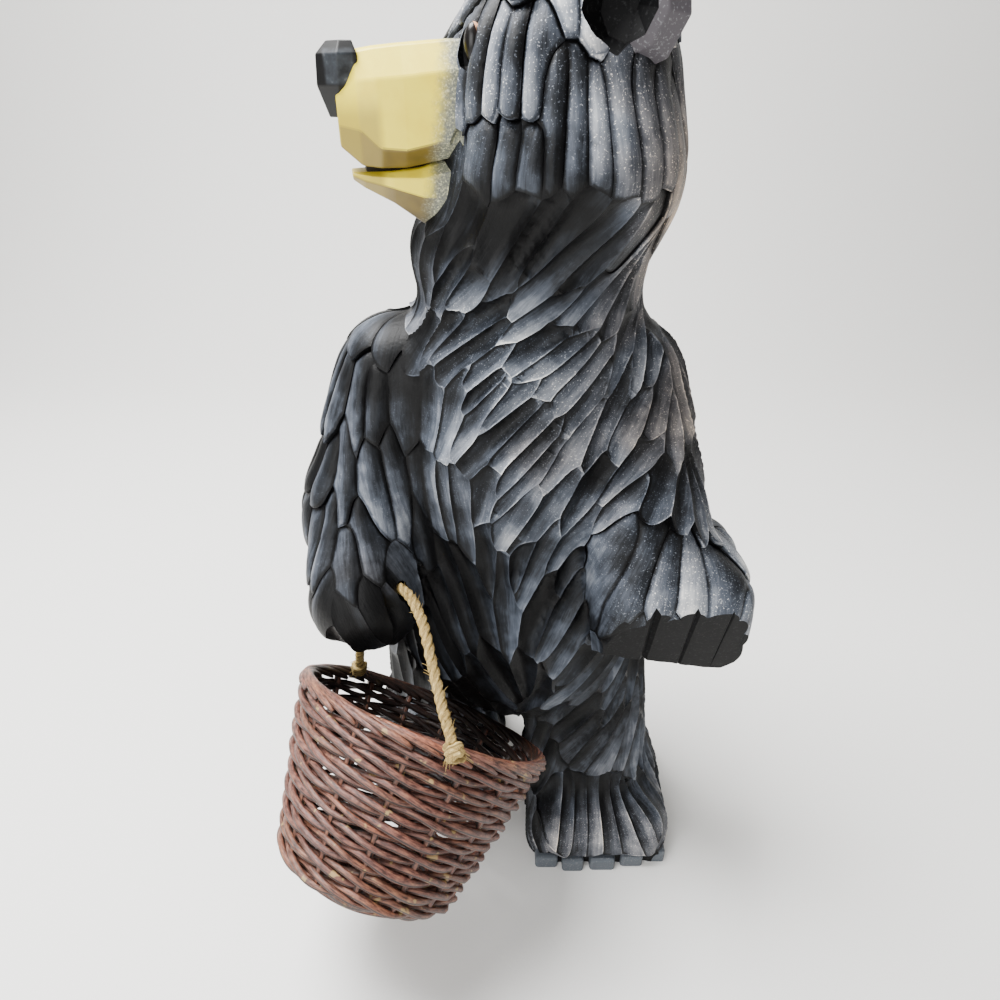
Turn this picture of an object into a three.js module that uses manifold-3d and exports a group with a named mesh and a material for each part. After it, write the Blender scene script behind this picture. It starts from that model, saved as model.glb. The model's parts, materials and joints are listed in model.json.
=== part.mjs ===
// Carved-fur bear in cast resin that stands and holds a small willow basket by a jute rope.
// Millimetres, +Z up. The bear faces -Y and looks over its right shoulder towards -X.
// The origin is on the floor, under the middle of the box around the bear and the basket.
import * as THREE from "three";
import { mergeVertices } from "three/addons/utils/BufferGeometryUtils.js";
import Module from "manifold-3d";

const wasm = await Module();
wasm.setup();

// Driving dimensions
const BEAR_HEIGHT = 350;
const GOUGE_LENGTH = 28;
const GOUGE_WIDTH = 7.8;
const GOUGE_DEPTH = 1.7;
const RIDGE_HEIGHT = 0.7;
const CLAW_HEIGHT = 7.4;
const CLAW_RECESS = 2.2;
const FINGER_GROOVE_DEPTH = 1.3;
const EAR_CUP_DEPTH = 6;
const MOUTH_GAP = 2.4;
const BASKET_RIM_RADIUS = 50;
const BASKET_BASE_RADIUS = 34;
const BASKET_HEIGHT = 61.5;
const WEAVER_THICKNESS = 4.2;
const STAKE_COUNT = 15;
const WALL_THICKNESS = 3.6;
const BASE_THICKNESS = 4;
const RIM_THICKNESS = 5;
const ROPE_DIAMETER = 4;
const BORE_CLEARANCE = 1.2;
const KNOT_RADIUS = 3.9;
const GAP = 0.3;

// The figure is drawn in units of a 350th of its own height.
const UNIT = BEAR_HEIGHT / 350;
const SKIN_STEP = 3;
const SKIN_LOW = [-95, -75, -18];
const SKIN_HIGH = [100, 80, 362];
const GOUGE_LONG = GOUGE_LENGTH / UNIT;
const GOUGE_WIDE = GOUGE_WIDTH / UNIT;

const RESIN = new THREE.MeshStandardMaterial({ color: 0x2f3235, roughness: 0.55, metalness: 0 });
const WILLOW = new THREE.MeshStandardMaterial({ color: 0x6e3f2c, roughness: 0.6, metalness: 0 });
const JUTE = new THREE.MeshStandardMaterial({ color: 0xc9b078, roughness: 0.95, metalness: 0 });

// Small vector helpers on plain arrays
const add = (a, b) => [a[0] + b[0], a[1] + b[1], a[2] + b[2]];
const sub = (a, b) => [a[0] - b[0], a[1] - b[1], a[2] - b[2]];
const scale = (a, s) => [a[0] * s, a[1] * s, a[2] * s];
const dot = (a, b) => a[0] * b[0] + a[1] * b[1] + a[2] * b[2];
const cross = (a, b) => [
  a[1] * b[2] - a[2] * b[1],
  a[2] * b[0] - a[0] * b[2],
  a[0] * b[1] - a[1] * b[0],
];
const length = (a) => Math.sqrt(dot(a, a));
const unit = (a) => scale(a, 1 / (length(a) || 1));

// Distance functions, all in figure units
function ellipsoid(p, centre, radii) {
  const q = sub(p, centre);
  const k0 = Math.hypot(q[0] / radii[0], q[1] / radii[1], q[2] / radii[2]);
  const k1 = Math.hypot(q[0] / radii[0] ** 2, q[1] / radii[1] ** 2, q[2] / radii[2] ** 2);
  return k1 > 0 ? (k0 * (k0 - 1)) / k1 : -Math.min(...radii);
}

// A limb that tapers from radius ra at a to radius rb at b
function limb(p, a, b, ra, rb) {
  const axis = sub(b, a);
  const along = Math.min(1, Math.max(0, dot(sub(p, a), axis) / dot(axis, axis)));
  return length(sub(p, add(a, scale(axis, along)))) - ra - (rb - ra) * along;
}

function roundedBox(p, centre, half, radius) {
  const q = sub(p, centre).map((v, i) => Math.abs(v) - half[i] + radius);
  const outside = length(q.map((v) => Math.max(v, 0)));
  return outside + Math.min(0, Math.max(...q)) - radius;
}

// Union of two distances with a fillet of about k
function blend(a, b, k) {
  const h = Math.max(k - Math.abs(a - b), 0) / k;
  return Math.min(a, b) - (h * h * k) / 4;
}

const blendAll = (distances, k) => distances.reduce((a, b) => blend(a, b, k));

// Body masses in figure units. Ellipsoids: centre and half sizes.
const BELLY = [[3, 2, 126], [53, 44, 59]];
const CROTCH = [[5, 14, 66], [17, 19, 13]];
const CHEST = [[2, 3, 190], [47, 40, 58]];
const SHOULDERS = [[2, 6, 232], [44, 34, 24]];
const THROAT = [[-5, 0, 268], [27, 28, 17]];
const SKULL = [[12, 4, 306], [35, 39, 44]];
const CHEEKS = [[16, 3, 291], [33, 42, 27]];
// Limbs: two ends and the radius at each end
const NECK = [[7, 6, 248], [10, 5, 282], 34, 35];
const RIGHT_UPPER_ARM = [[-40, 6, 223], [-55, -6, 176], 23, 22.5];
const RIGHT_FOREARM = [[-55, -6, 176], [-55, -28, 149], 22.5, 21];
const LEFT_UPPER_ARM = [[38, 6, 220], [46, -13, 183], 24, 23.5];
const LEFT_FOREARM = [[43, -22, 178], [54, -26, 160], 22, 23];
const LEFT_LEG = [[33, 4, 88], [38, -2, 30], 28, 29];
const RIGHT_LEG = [[-30, 24.5, 88], [-33, 30.5, 30], 29, 28];
// Paw and feet: centre, half sizes and corner radius
const LEFT_PAW = [[57, -24, 145], [28, 28, 25], 13];
const LEFT_FOOT = [[41, -8.3, 10], [33, 38.3, 19], 15];
const RIGHT_FOOT = [[-37, 26.6, 10], [33, 37.4, 19], 15];
// The flat underside of the left paw
const PAW_UNDERSIDE = { point: [60, -30, 126.2], direction: unit([-0.25, -0.1, -1]) };
// Fillets where the masses meet
const TORSO_FILLET = 14;
const HEAD_FILLET = 8;
const ELBOW_FILLET = 6;
const PAW_FILLET = 8;
const ANKLE_FILLET = 14;
const HIP_FILLET = 10;
const SHOULDER_FILLET = 6;
const NECK_FILLET = 10;

// The bear without its muzzle, nose and ears
function bodyForm(p) {
  const torso = blendAll(
    [
      ellipsoid(p, ...BELLY),
      ellipsoid(p, ...CROTCH),
      ellipsoid(p, ...CHEST),
      ellipsoid(p, ...SHOULDERS),
      limb(p, ...NECK),
      ellipsoid(p, ...THROAT),
    ],
    TORSO_FILLET,
  );
  const headRound = blend(ellipsoid(p, ...SKULL), ellipsoid(p, ...CHEEKS), HEAD_FILLET);
  const head = Math.max(headRound, dot(sub(p, FOREHEAD.point), FOREHEAD.direction));
  const rightArm = blend(limb(p, ...RIGHT_UPPER_ARM), limb(p, ...RIGHT_FOREARM), ELBOW_FILLET);
  const leftArmRound = blendAll(
    [limb(p, ...LEFT_UPPER_ARM), limb(p, ...LEFT_FOREARM), roundedBox(p, ...LEFT_PAW)],
    PAW_FILLET,
  );
  const below = dot(sub(p, PAW_UNDERSIDE.point), PAW_UNDERSIDE.direction);
  const leftArm = Math.max(leftArmRound, below);
  const leftLeg = blend(limb(p, ...LEFT_LEG), roundedBox(p, ...LEFT_FOOT), ANKLE_FILLET);
  const rightLeg = blend(limb(p, ...RIGHT_LEG), roundedBox(p, ...RIGHT_FOOT), ANKLE_FILLET);
  const trunk = blend(Math.min(leftLeg, rightLeg), torso, HIP_FILLET);
  const limbed = blend(trunk, Math.min(leftArm, rightArm), SHOULDER_FILLET);
  return blend(limbed, head, NECK_FILLET);
}

function normalOf(distance, p, h = 0.5) {
  return unit([
    distance([p[0] + h, p[1], p[2]]) - distance([p[0] - h, p[1], p[2]]),
    distance([p[0], p[1] + h, p[2]]) - distance([p[0], p[1] - h, p[2]]),
    distance([p[0], p[1], p[2] + h]) - distance([p[0], p[1], p[2] - h]),
  ]);
}

// Closed skin of a distance function on a cubic grid: one point in each cell that the surface crosses
function skinOf(distance, low, high, step) {
  const count = low.map((v, i) => Math.ceil((high[i] - v) / step) + 1);
  const index = (i, j, k) => (i * count[1] + j) * count[2] + k;
  const value = new Float64Array(count[0] * count[1] * count[2]);
  const place = (i, j, k) => [low[0] + i * step, low[1] + j * step, low[2] + k * step];
  for (let i = 0; i < count[0]; i++)
    for (let j = 0; j < count[1]; j++)
      for (let k = 0; k < count[2]; k++) value[index(i, j, k)] = distance(place(i, j, k));
  const points = [];
  const cellPoint = new Map();
  const corners = [0, 1, 2, 3, 4, 5, 6, 7].map((c) => [c & 1, (c >> 1) & 1, c >> 2]);
  const edges = [];
  for (let a = 0; a < 8; a++)
    for (const bit of [1, 2, 4]) if (!(a & bit)) edges.push([a, a | bit]);
  for (let i = 0; i < count[0] - 1; i++)
    for (let j = 0; j < count[1] - 1; j++)
      for (let k = 0; k < count[2] - 1; k++) {
        const v = corners.map((c) => value[index(i + c[0], j + c[1], k + c[2])]);
        const inside = v.filter((x) => x < 0).length;
        if (inside === 0 || inside === 8) continue;
        let sum = [0, 0, 0];
        let crossings = 0;
        for (const [a, b] of edges) {
          if (v[a] < 0 === v[b] < 0) continue;
          const share = v[a] / (v[a] - v[b]);
          sum = add(sum, add(scale(corners[a], 1 - share), scale(corners[b], share)));
          crossings++;
        }
        cellPoint.set(index(i, j, k), points.length);
        points.push(add(place(i, j, k), scale(sum, step / crossings)));
      }
  const triangles = [];
  const axes = [[1, 0, 0], [0, 1, 0], [0, 0, 1]];
  for (let i = 1; i < count[0] - 1; i++)
    for (let j = 1; j < count[1] - 1; j++)
      for (let k = 1; k < count[2] - 1; k++)
        for (let axis = 0; axis < 3; axis++) {
          const step1 = axes[axis];
          const a = value[index(i, j, k)] < 0;
          const b = value[index(i + step1[0], j + step1[1], k + step1[2])] < 0;
          if (a === b) continue;
          const u = axes[(axis + 1) % 3];
          const w = axes[(axis + 2) % 3];
          const cell = (m, n) =>
            cellPoint.get(index(i - m * u[0] - n * w[0], j - m * u[1] - n * w[1], k - m * u[2] - n * w[2]));
          const ring = [cell(1, 1), cell(0, 1), cell(0, 0), cell(1, 0)];
          if (!a) ring.reverse();
          triangles.push([ring[0], ring[1], ring[2]], [ring[0], ring[2], ring[3]]);
        }
  return { points, triangles };
}

// Which way the fur runs: a place on the figure, the direction of the gouge there and how far it reaches
const FUR_FLOW = [
  [[0, -38, 325], [0.05, 0, -1], 26],
  [[38, -25, 320], [0.3, 0, -1], 24],
  [[48, -20, 290], [-0.15, 0, -1], 22],
  [[10, -40, 290], [-0.1, 0, -1], 20],
  [[-20, -25, 275], [-0.5, 0, -1], 20],
  [[25, -32, 268], [-1, 0, -0.75], 20],
  [[-8, -34, 252], [-1, 0, -0.5], 22],
  [[18, -38, 235], [-1, 0, -0.55], 24],
  [[-10, -40, 222], [-0.8, 0, -0.6], 20],
  [[12, -42, 200], [-0.75, 0, -0.75], 24],
  [[-26, -36, 218], [0.4, 0, -1], 14],
  [[-28, -38, 195], [0.45, 0, -1], 16],
  [[-56, 0, 215], [0.05, 0, -1], 26],
  [[-60, -10, 170], [0.05, 0, -1], 28],
  [[40, -25, 225], [-0.5, 0, -1], 22],
  [[62, 0, 200], [0.1, 0, -1], 26],
  [[42, -35, 188], [-0.6, 0, -0.8], 20],
  [[58, -50, 165], [0.05, -0.5, -1], 26],
  [[-18, -44, 160], [0.5, 0, -0.85], 24],
  [[18, -46, 160], [-0.65, 0, -0.75], 24],
  [[-10, -42, 120], [0.6, 0, -0.8], 24],
  [[32, -38, 110], [-0.75, 0, -0.65], 28],
  [[50, 0, 90], [-0.3, 0, -1], 26],
  [[38, -30, 50], [0, -0.3, -1], 22],
  [[20, -40, 25], [-0.5, -1, -0.8], 18],
  [[42, -46, 20], [0, -1, -0.8], 18],
  [[66, -40, 20], [0.6, -0.9, -0.8], 18],
  [[-45, 0, 60], [-0.1, 0, -1], 30],
  [[0, 50, 300], [0, 0, -1], 40],
  [[0, 45, 220], [0, 0, -1], 50],
  [[0, 48, 140], [0, 0, -1], 50],
  [[0, 48, 60], [0, 0, -1], 50],
];

function furDirection(p, normal) {
  let sum = [0, 0, 0];
  for (const [place, direction, reach] of FUR_FLOW) {
    const away = length(sub(p, place)) / reach;
    sum = add(sum, scale(unit(direction), Math.exp(-away * away) + 1e-6 / (1 + away)));
  }
  return unit(sub(sum, scale(normal, dot(sum, normal))));
}

// How far p lies from a gouge's centre, in gouge lengths and widths. Lower ends are rounder than upper ends.
const END_ROUNDING = 0.9;
function gougeDistance(gouge, p) {
  const q = sub(p, gouge.centre);
  const along = dot(q, gouge.along) / GOUGE_LONG;
  const across = dot(q, gouge.across) / GOUGE_WIDE;
  const through = dot(q, gouge.normal) / GOUGE_WIDE;
  const round = Math.max(0.3, 1 + END_ROUNDING * along);
  return along * along + across * across * round + through * through * 0.6;
}

const scatter = (n) => {
  const s = Math.sin(n * 127.1 + 311.7) * 43758.5453;
  return s - Math.floor(s);
};

function gougeAt(centre) {
  const normal = normalOf(bodyForm, centre);
  const along = furDirection(centre, normal);
  return { centre, normal, along, across: cross(along, normal) };
}

// Gouges laid in tiers: those nearest the middle of a tier are placed first
const TIER_HEIGHT = 0.86 * GOUGE_LONG;
const GOUGE_SPACING = 0.72;
function layGouges(skin) {
  const tierKey = (p, n) => {
    const share = (p[2] / TIER_HEIGHT + 0.18 * scatter(n)) % 1;
    return Math.abs(share - 0.5) + 0.05 * scatter(n + 7);
  };
  const order = skin.points.map((p, n) => ({ p, key: tierKey(p, n) })).sort((a, b) => a.key - b.key);
  const gouges = [];
  for (const { p } of order) {
    const gouge = gougeAt(p);
    const free = gouges.every((other) => {
      const q = sub(p, other.centre);
      if (Math.abs(q[2]) > GOUGE_LONG || dot(gouge.normal, other.normal) < 0.2) return true;
      const along = dot(q, other.along) / GOUGE_LONG;
      const across = dot(q, other.across) / GOUGE_WIDE;
      return along * along + across * across > GOUGE_SPACING;
    });
    if (free) gouges.push(gouge);
  }
  return gouges;
}

// The gouge that each point of the skin belongs to
function claimSkin(skin, normals, gouges) {
  const reach = 1.4 * GOUGE_LONG;
  return skin.points.map((p, n) => {
    let best = 0;
    let least = Infinity;
    gouges.forEach((gouge, g) => {
      const q = sub(p, gouge.centre);
      if (Math.max(Math.abs(q[0]), Math.abs(q[1]), Math.abs(q[2])) > reach) return;
      const facing = dot(normals[n], gouge.normal);
      const d = gougeDistance(gouge, p) + 4 * Math.max(0, 0.3 - facing);
      if (d < least) {
        least = d;
        best = g;
      }
    });
    return best;
  });
}

// Keeps only the largest patch of each gouge. Smaller patches go to the neighbour that they touch.
function joinStrays(skin, owner) {
  const neighbours = skin.points.map(() => new Set());
  for (const t of skin.triangles)
    t.forEach((v, i) => {
      neighbours[v].add(t[(i + 1) % 3]);
      neighbours[t[(i + 1) % 3]].add(v);
    });
  const patch = new Int32Array(owner.length).fill(-1);
  const patches = [];
  owner.forEach((label, start) => {
    if (patch[start] >= 0) return;
    const members = [start];
    patch[start] = patches.length;
    for (let m = 0; m < members.length; m++)
      for (const v of neighbours[members[m]])
        if (patch[v] < 0 && owner[v] === label) {
          patch[v] = patches.length;
          members.push(v);
        }
    patches.push({ label, members });
  });
  const largest = new Map();
  for (const one of patches)
    if (!largest.has(one.label) || largest.get(one.label).members.length < one.members.length)
      largest.set(one.label, one);
  const loose = patches.filter((one) => largest.get(one.label) !== one);
  const waiting = new Set(loose.flatMap((one) => one.members));
  while (waiting.size) {
    const before = waiting.size;
    for (const v of [...waiting]) {
      const settled = [...neighbours[v]].find((w) => !waiting.has(w));
      if (settled === undefined) continue;
      owner[v] = owner[settled];
      waiting.delete(v);
    }
    if (waiting.size === before) throw new Error("a patch of the skin touches no other");
  }
}

// Outline of each gouge's patch: the skin triangles where three patches meet, in order round it
function patchOutlines(skin, owner) {
  const across = new Map();
  const key = (a, b) => a * skin.points.length + b;
  skin.triangles.forEach((t, n) => t.forEach((v, i) => across.set(key(v, t[(i + 1) % 3]), n)));
  const outlines = new Map();
  skin.triangles.forEach((t, start) => {
    if (new Set(t.map((v) => owner[v])).size < 3) return;
    for (let i = 0; i < 3; i++) {
      let from = t[i];
      let to = t[(i + 1) % 3];
      const left = owner[to];
      const right = owner[from];
      let here = start;
      for (;;) {
        here = across.get(key(to, from));
        const tip = skin.triangles[here].find((v) => v !== from && v !== to);
        if (owner[tip] === right) from = tip;
        else if (owner[tip] === left) to = tip;
        else break;
      }
      if (!outlines.has(left)) outlines.set(left, new Map());
      outlines.get(left).set(start, here);
    }
  });
  return outlines;
}

// The nearest point of the body form, found in a few steps
const onForm = (p) => {
  let q = p;
  for (let pass = 0; pass < 3; pass++) q = sub(q, scale(normalOf(bodyForm, q), bodyForm(q)));
  return q;
};

// The carved skin: ridge corners stand proud where patches meet, and a valley line is cut along each gouge.
// A gouge bites deepest at its upper end and runs out towards its lower end, like a shingle.
const UPPER_VALLEY = { place: 0.24, depth: GOUGE_DEPTH };
const LOWER_VALLEY = { place: 0.72, depth: GOUGE_DEPTH / 2 };
function carveSkin(skin) {
  const normals = skin.points.map((p) => normalOf(bodyForm, p));
  const gouges = layGouges(skin);
  const owner = claimSkin(skin, normals, gouges);
  joinStrays(skin, owner);
  const outlines = patchOutlines(skin, owner);
  const points = [];
  const triangles = [];
  const cornerOf = new Map();
  const push = (p, height) => {
    const base = onForm(p);
    points.push(add(base, scale(normalOf(bodyForm, base), height / UNIT)));
    return points.length - 1;
  };
  const corner = (n) => {
    if (!cornerOf.has(n)) {
      const [a, b, c] = skin.triangles[n].map((v) => skin.points[v]);
      cornerOf.set(n, push(scale(add(add(a, b), c), 1 / 3), RIDGE_HEIGHT));
    }
    return cornerOf.get(n);
  };
  for (const [label, next] of outlines) {
    const gouge = gouges[label];
    const ring = [];
    for (let n = next.keys().next().value; !ring.includes(n); n = next.get(n)) ring.push(n);
    if (ring.length < 3) continue;
    const outline = ring.map(corner);
    const offsets = outline.map((v) => sub(points[v], gouge.centre));
    const along = offsets.map((q) => dot(q, gouge.along));
    const across = offsets.map((q) => dot(q, gouge.across));
    const top = Math.min(...along);
    const span = Math.max(...along) - top;
    const middle = (keep) => {
      const kept = across.filter((_, i) => keep(along[i]));
      return kept.reduce((a, b) => a + b, 0) / Math.max(1, kept.length);
    };
    const halfway = top + span / 2;
    const valley = ({ place, depth }, keep) => {
      const down = scale(gouge.along, top + place * span);
      return push(add(gouge.centre, add(down, scale(gouge.across, middle(keep)))), -depth);
    };
    const upper = valley(UPPER_VALLEY, (a) => a < halfway);
    const lower = valley(LOWER_VALLEY, (a) => a >= halfway);
    const size = outline.length;
    const sideOf = outline.map((_, i) => (along[i] + along[(i + 1) % size]) / 2 > halfway);
    const turns = sideOf.filter((side, i) => side !== sideOf[(i + size - 1) % size]).length;
    outline.forEach((v, i) => {
      const hub = turns === 2 && sideOf[i] ? lower : upper;
      triangles.push([v, outline[(i + 1) % size], hub]);
      if (turns !== 2 || sideOf[i] === sideOf[(i + size - 1) % size]) return;
      triangles.push(sideOf[i] ? [v, lower, upper] : [v, upper, lower]);
    });
  }
  return { points, triangles };
}

// A manifold-3d solid from shared points and triangles, or from a closed geometry
function solidOf(points, triangles) {
  return new wasm.Manifold(
    new wasm.Mesh({
      numProp: 3,
      vertProperties: new Float32Array(points.flat()),
      triVerts: new Uint32Array(triangles.flat()),
    }),
  );
}

function solidOfGeometry(geometry) {
  const bare = geometry.clone();
  bare.deleteAttribute("normal");
  bare.deleteAttribute("uv");
  const merged = mergeVertices(bare, 1e-4);
  return new wasm.Manifold(
    new wasm.Mesh({
      numProp: 3,
      vertProperties: new Float32Array(merged.attributes.position.array),
      triVerts: new Uint32Array(merged.index.array),
    }),
  );
}

// A closed loft through rings of equally many points, turned so that its faces point outwards
function loft(rings) {
  const size = rings[0].length;
  const points = rings.flat();
  const triangles = [];
  for (let r = 0; r < rings.length - 1; r++)
    for (let i = 0; i < size; i++) {
      const a = r * size + i;
      const b = r * size + ((i + 1) % size);
      triangles.push([a, b, b + size], [a, b + size, a + size]);
    }
  const last = (rings.length - 1) * size;
  for (let i = 1; i < size - 1; i++) {
    triangles.push([0, i + 1, i]);
    triangles.push([last, last + i, last + i + 1]);
  }
  const made = solidOf(points, triangles);
  return made.volume() > 0 ? made : solidOf(points, triangles.map(([a, b, c]) => [a, c, b]));
}

// The head's own frame starts at the middle of the skull. It is turned towards -X and a little to the front.
const HEAD_TURN = 12;
const turn = (HEAD_TURN * Math.PI) / 180;
const HEAD_FORWARD = [-Math.cos(turn), -Math.sin(turn), 0];
const HEAD_LEFT = [Math.sin(turn), -Math.cos(turn), 0];
const headPoint = (forward, left, up) =>
  add(add(SKULL[0], [0, 0, up]), add(scale(HEAD_FORWARD, forward), scale(HEAD_LEFT, left)));

// The forehead slopes back over the brow, as one plane
const FOREHEAD = {
  point: headPoint(27.5, 0, 22.7),
  direction: add(scale(HEAD_FORWARD, 0.8), [0, 0, 0.6]),
};

// Eight-cornered section of the muzzle or jaw. Top and bottom are heights over the middle of the skull.
const snoutSection = (forward, halfWidth, top, bottom) => {
  const height = top - bottom;
  const profile = [
    [halfWidth * 0.66, top],
    [halfWidth, top - 0.26 * height],
    [halfWidth, bottom + 0.3 * height],
    [halfWidth * 0.74, bottom],
  ];
  const left = profile.map(([w, up]) => headPoint(forward, w, up));
  const right = profile.map(([w, up]) => headPoint(forward, -w, up)).reverse();
  return [...left, ...right];
};

// Sections from the face to the tip: distance forward, half width, top and bottom
const UPPER_LIP = -11;
const LOWER_LIP = UPPER_LIP - MOUTH_GAP / UNIT;
const MUZZLE_SECTIONS = [
  [8, 20, 18, UPPER_LIP - 5],
  [33, 18.5, 16.5, UPPER_LIP],
  [46, 16.5, 15.5, UPPER_LIP - 2.5],
  [58, 13, 14, UPPER_LIP - 2],
  [63.5, 8, 7, UPPER_LIP + 2.5],
];
const JAW_SECTIONS = [
  [6, 17, UPPER_LIP + 2, -42],
  [33, 15.8, UPPER_LIP + 0.4, -32],
  [42, 14.5, UPPER_LIP - 2.6, -28.5],
  [50, 12.5, UPPER_LIP - 3.6, -23],
  [58, 9, LOWER_LIP - 1.5, -19],
  [61, 6.5, LOWER_LIP - 1.5, -17],
];
// The closed mouth behind the lips
const MOUTH_SECTIONS = [
  [10, 13, UPPER_LIP + 5, LOWER_LIP - 7.6],
  [57, 7.5, UPPER_LIP + 5, LOWER_LIP - 4.6],
];

function snoutSolid() {
  const [muzzle, jaw, mouth] = [MUZZLE_SECTIONS, JAW_SECTIONS, MOUTH_SECTIONS].map((sections) =>
    loft(sections.map((section) => snoutSection(...section))),
  );
  return muzzle.add(jaw).add(mouth).add(noseSolid());
}

// Six-cornered level section of the nose between its back and its front
const noseSection = (up, back, front, halfWidth) => [
  headPoint(back, halfWidth, up),
  headPoint(back, -halfWidth, up),
  headPoint((back + front) / 2, -halfWidth, up),
  headPoint(front, -halfWidth * 0.5, up),
  headPoint(front, halfWidth * 0.5, up),
  headPoint((back + front) / 2, halfWidth, up),
];

// Level sections from the bottom up: height, back, front and half width
const NOSE_SECTIONS = [
  [-1.5, 60, 65.5, 3.5],
  [6, 57, 68, 10],
  [13, 57, 67.5, 11.5],
  [16, 58, 64.5, 9.5],
];
const noseSolid = () => loft(NOSE_SECTIONS.map((section) => noseSection(...section)));

// A faceted ball at a place, with its own three half sizes along three directions
function facetedBall(centre, directions, halfSizes, around, levels) {
  const rings = [];
  for (let level = 0; level <= levels; level++) {
    const polar = Math.PI * (0.04 + (0.92 * level) / levels);
    const ring = [];
    for (let i = 0; i < around; i++) {
      const angle = (2 * Math.PI * i) / around;
      const shares = [
        Math.sin(polar) * Math.cos(angle),
        Math.sin(polar) * Math.sin(angle),
        Math.cos(polar),
      ];
      const reach = shares.map((v, d) => scale(directions[d], v * halfSizes[d]));
      ring.push(add(centre, reach.reduce(add)));
    }
    rings.push(ring);
  }
  return loft(rings);
}

// Ears: a stubby cupped disc on each side of the crown. side is 1 for the left ear and -1 for the right.
const EAR_PLACE = { forward: -12, left: 27, up: 23 };
const EAR_HALF_SIZES = [14, 15, 9];
const EAR_CUP_RADII = [10, 11];
const EAR_CUP_START = 11.5;
function earShapes(side) {
  const centre = headPoint(EAR_PLACE.forward, side * EAR_PLACE.left, EAR_PLACE.up);
  const facing = unit(add(scale(HEAD_FORWARD, 0.65), scale(HEAD_LEFT, 0.7 * side)));
  const up = unit(add([0, 0, 1], scale(HEAD_LEFT, 0.25 * side)));
  const level = unit(cross(up, facing));
  const frame = [level, cross(facing, level), facing];
  const cupHalf = EAR_CUP_START - EAR_HALF_SIZES[2] + EAR_CUP_DEPTH / UNIT;
  const cupCentre = add(centre, scale(facing, EAR_CUP_START));
  return {
    outer: facetedBall(centre, frame, EAR_HALF_SIZES, 9, 4),
    cup: facetedBall(cupCentre, frame, [...EAR_CUP_RADII, cupHalf], 9, 4),
  };
}

// Eyes: each is a ball in a socket under the brow
const EYE_PLACE = { forward: 28, left: 18.8, up: 15 };
const EYE_HALF_SIZES = [2.5, 2.7, 4.7];
const SOCKET_HALF_SIZES = [3.2, 3.6, 6.2];
const SOCKET_FORWARD = 1.7;
function eyeShapes(side) {
  const centre = headPoint(EYE_PLACE.forward, side * EYE_PLACE.left, EYE_PLACE.up);
  const socketCentre = add(centre, scale(HEAD_FORWARD, SOCKET_FORWARD));
  const frame = [HEAD_FORWARD, HEAD_LEFT, [0, 0, 1]];
  return {
    socket: facetedBall(socketCentre, frame, SOCKET_HALF_SIZES, 8, 4),
    ball: facetedBall(centre, frame, EYE_HALF_SIZES, 10, 6),
  };
}

// A big block whose one face passes through a point and looks against the given direction
const PAW_BLOCK = 80;
const GROUND_BLOCK = 400;
function blockBeyond(point, direction, size) {
  const block = new THREE.BoxGeometry(size, size, size).translate(0, 0, size / 2);
  const facing = new THREE.Quaternion().setFromUnitVectors(
    new THREE.Vector3(0, 0, 1),
    new THREE.Vector3(...unit(direction)),
  );
  return solidOfGeometry(block.applyQuaternion(facing).translate(...point));
}

function boxBetween(low, high) {
  const box = new THREE.BoxGeometry(...sub(high, low));
  return solidOfGeometry(box.translate(...scale(add(low, high), 0.5)));
}

// A straight V groove of the given length. Its bottom edge lies at the given depth under a point.
function groove({ point, along, outward, halfLength, halfWidth, depth }) {
  const side = scale(unit(cross(along, outward)), 2 * halfWidth);
  const run = unit(along);
  const down = scale(unit(outward), depth);
  const section = (shift) => {
    const base = add(point, scale(run, shift));
    const over = add(base, down);
    return [sub(base, down), add(over, side), sub(over, side)];
  };
  return loft([section(-halfLength), section(halfLength)]);
}

// The end of the left paw is cut flat, and shallow grooves part its fingers
const PAW_END = { point: [57, -46.5, 140], direction: [0.04, -1, -0.32] };
const FINGER_PLACES = [48, 62, 74.5, 82];
const fingerGroove = (x) =>
  groove({
    point: [x, PAW_END.point[1], PAW_END.point[2]],
    along: [0.02, 0.31, -1],
    outward: PAW_END.direction,
    halfLength: 30,
    halfWidth: 1.1,
    depth: FINGER_GROOVE_DEPTH / UNIT,
  });

// Claws: place across the foot outwards, half width, and distance in front of the fur.
// The fur is cut back over them. side is 1 for the left foot and -1 for the right.
const CLAWS = [
  [-24.1, 5.2, 0.3],
  [-12, 4.9, 2.1],
  [1.7, 5.8, 1.6],
  [15.6, 5.2, -0.2],
  [26.9, 4.6, -2.4],
];
const CLAW_LENGTH = 16;
const CLAW_REACH = 15;
function clawShapes([centre, half], side) {
  const front = centre[1] - half[1];
  const top = CLAW_HEIGHT / UNIT;
  const recess = boxBetween(
    [centre[0] - half[0] - CLAW_REACH, front - CLAW_REACH, -CLAW_REACH],
    [centre[0] + half[0] + CLAW_REACH, front + CLAW_RECESS / UNIT, top],
  );
  const claws = CLAWS.map(([across, halfWidth, ahead]) => {
    const x = centre[0] + side * across;
    const y = front - ahead;
    return boxBetween([x - halfWidth, y, -CLAW_REACH], [x + halfWidth, y + CLAW_LENGTH, top]);
  });
  return { recess, claws };
}

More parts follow.
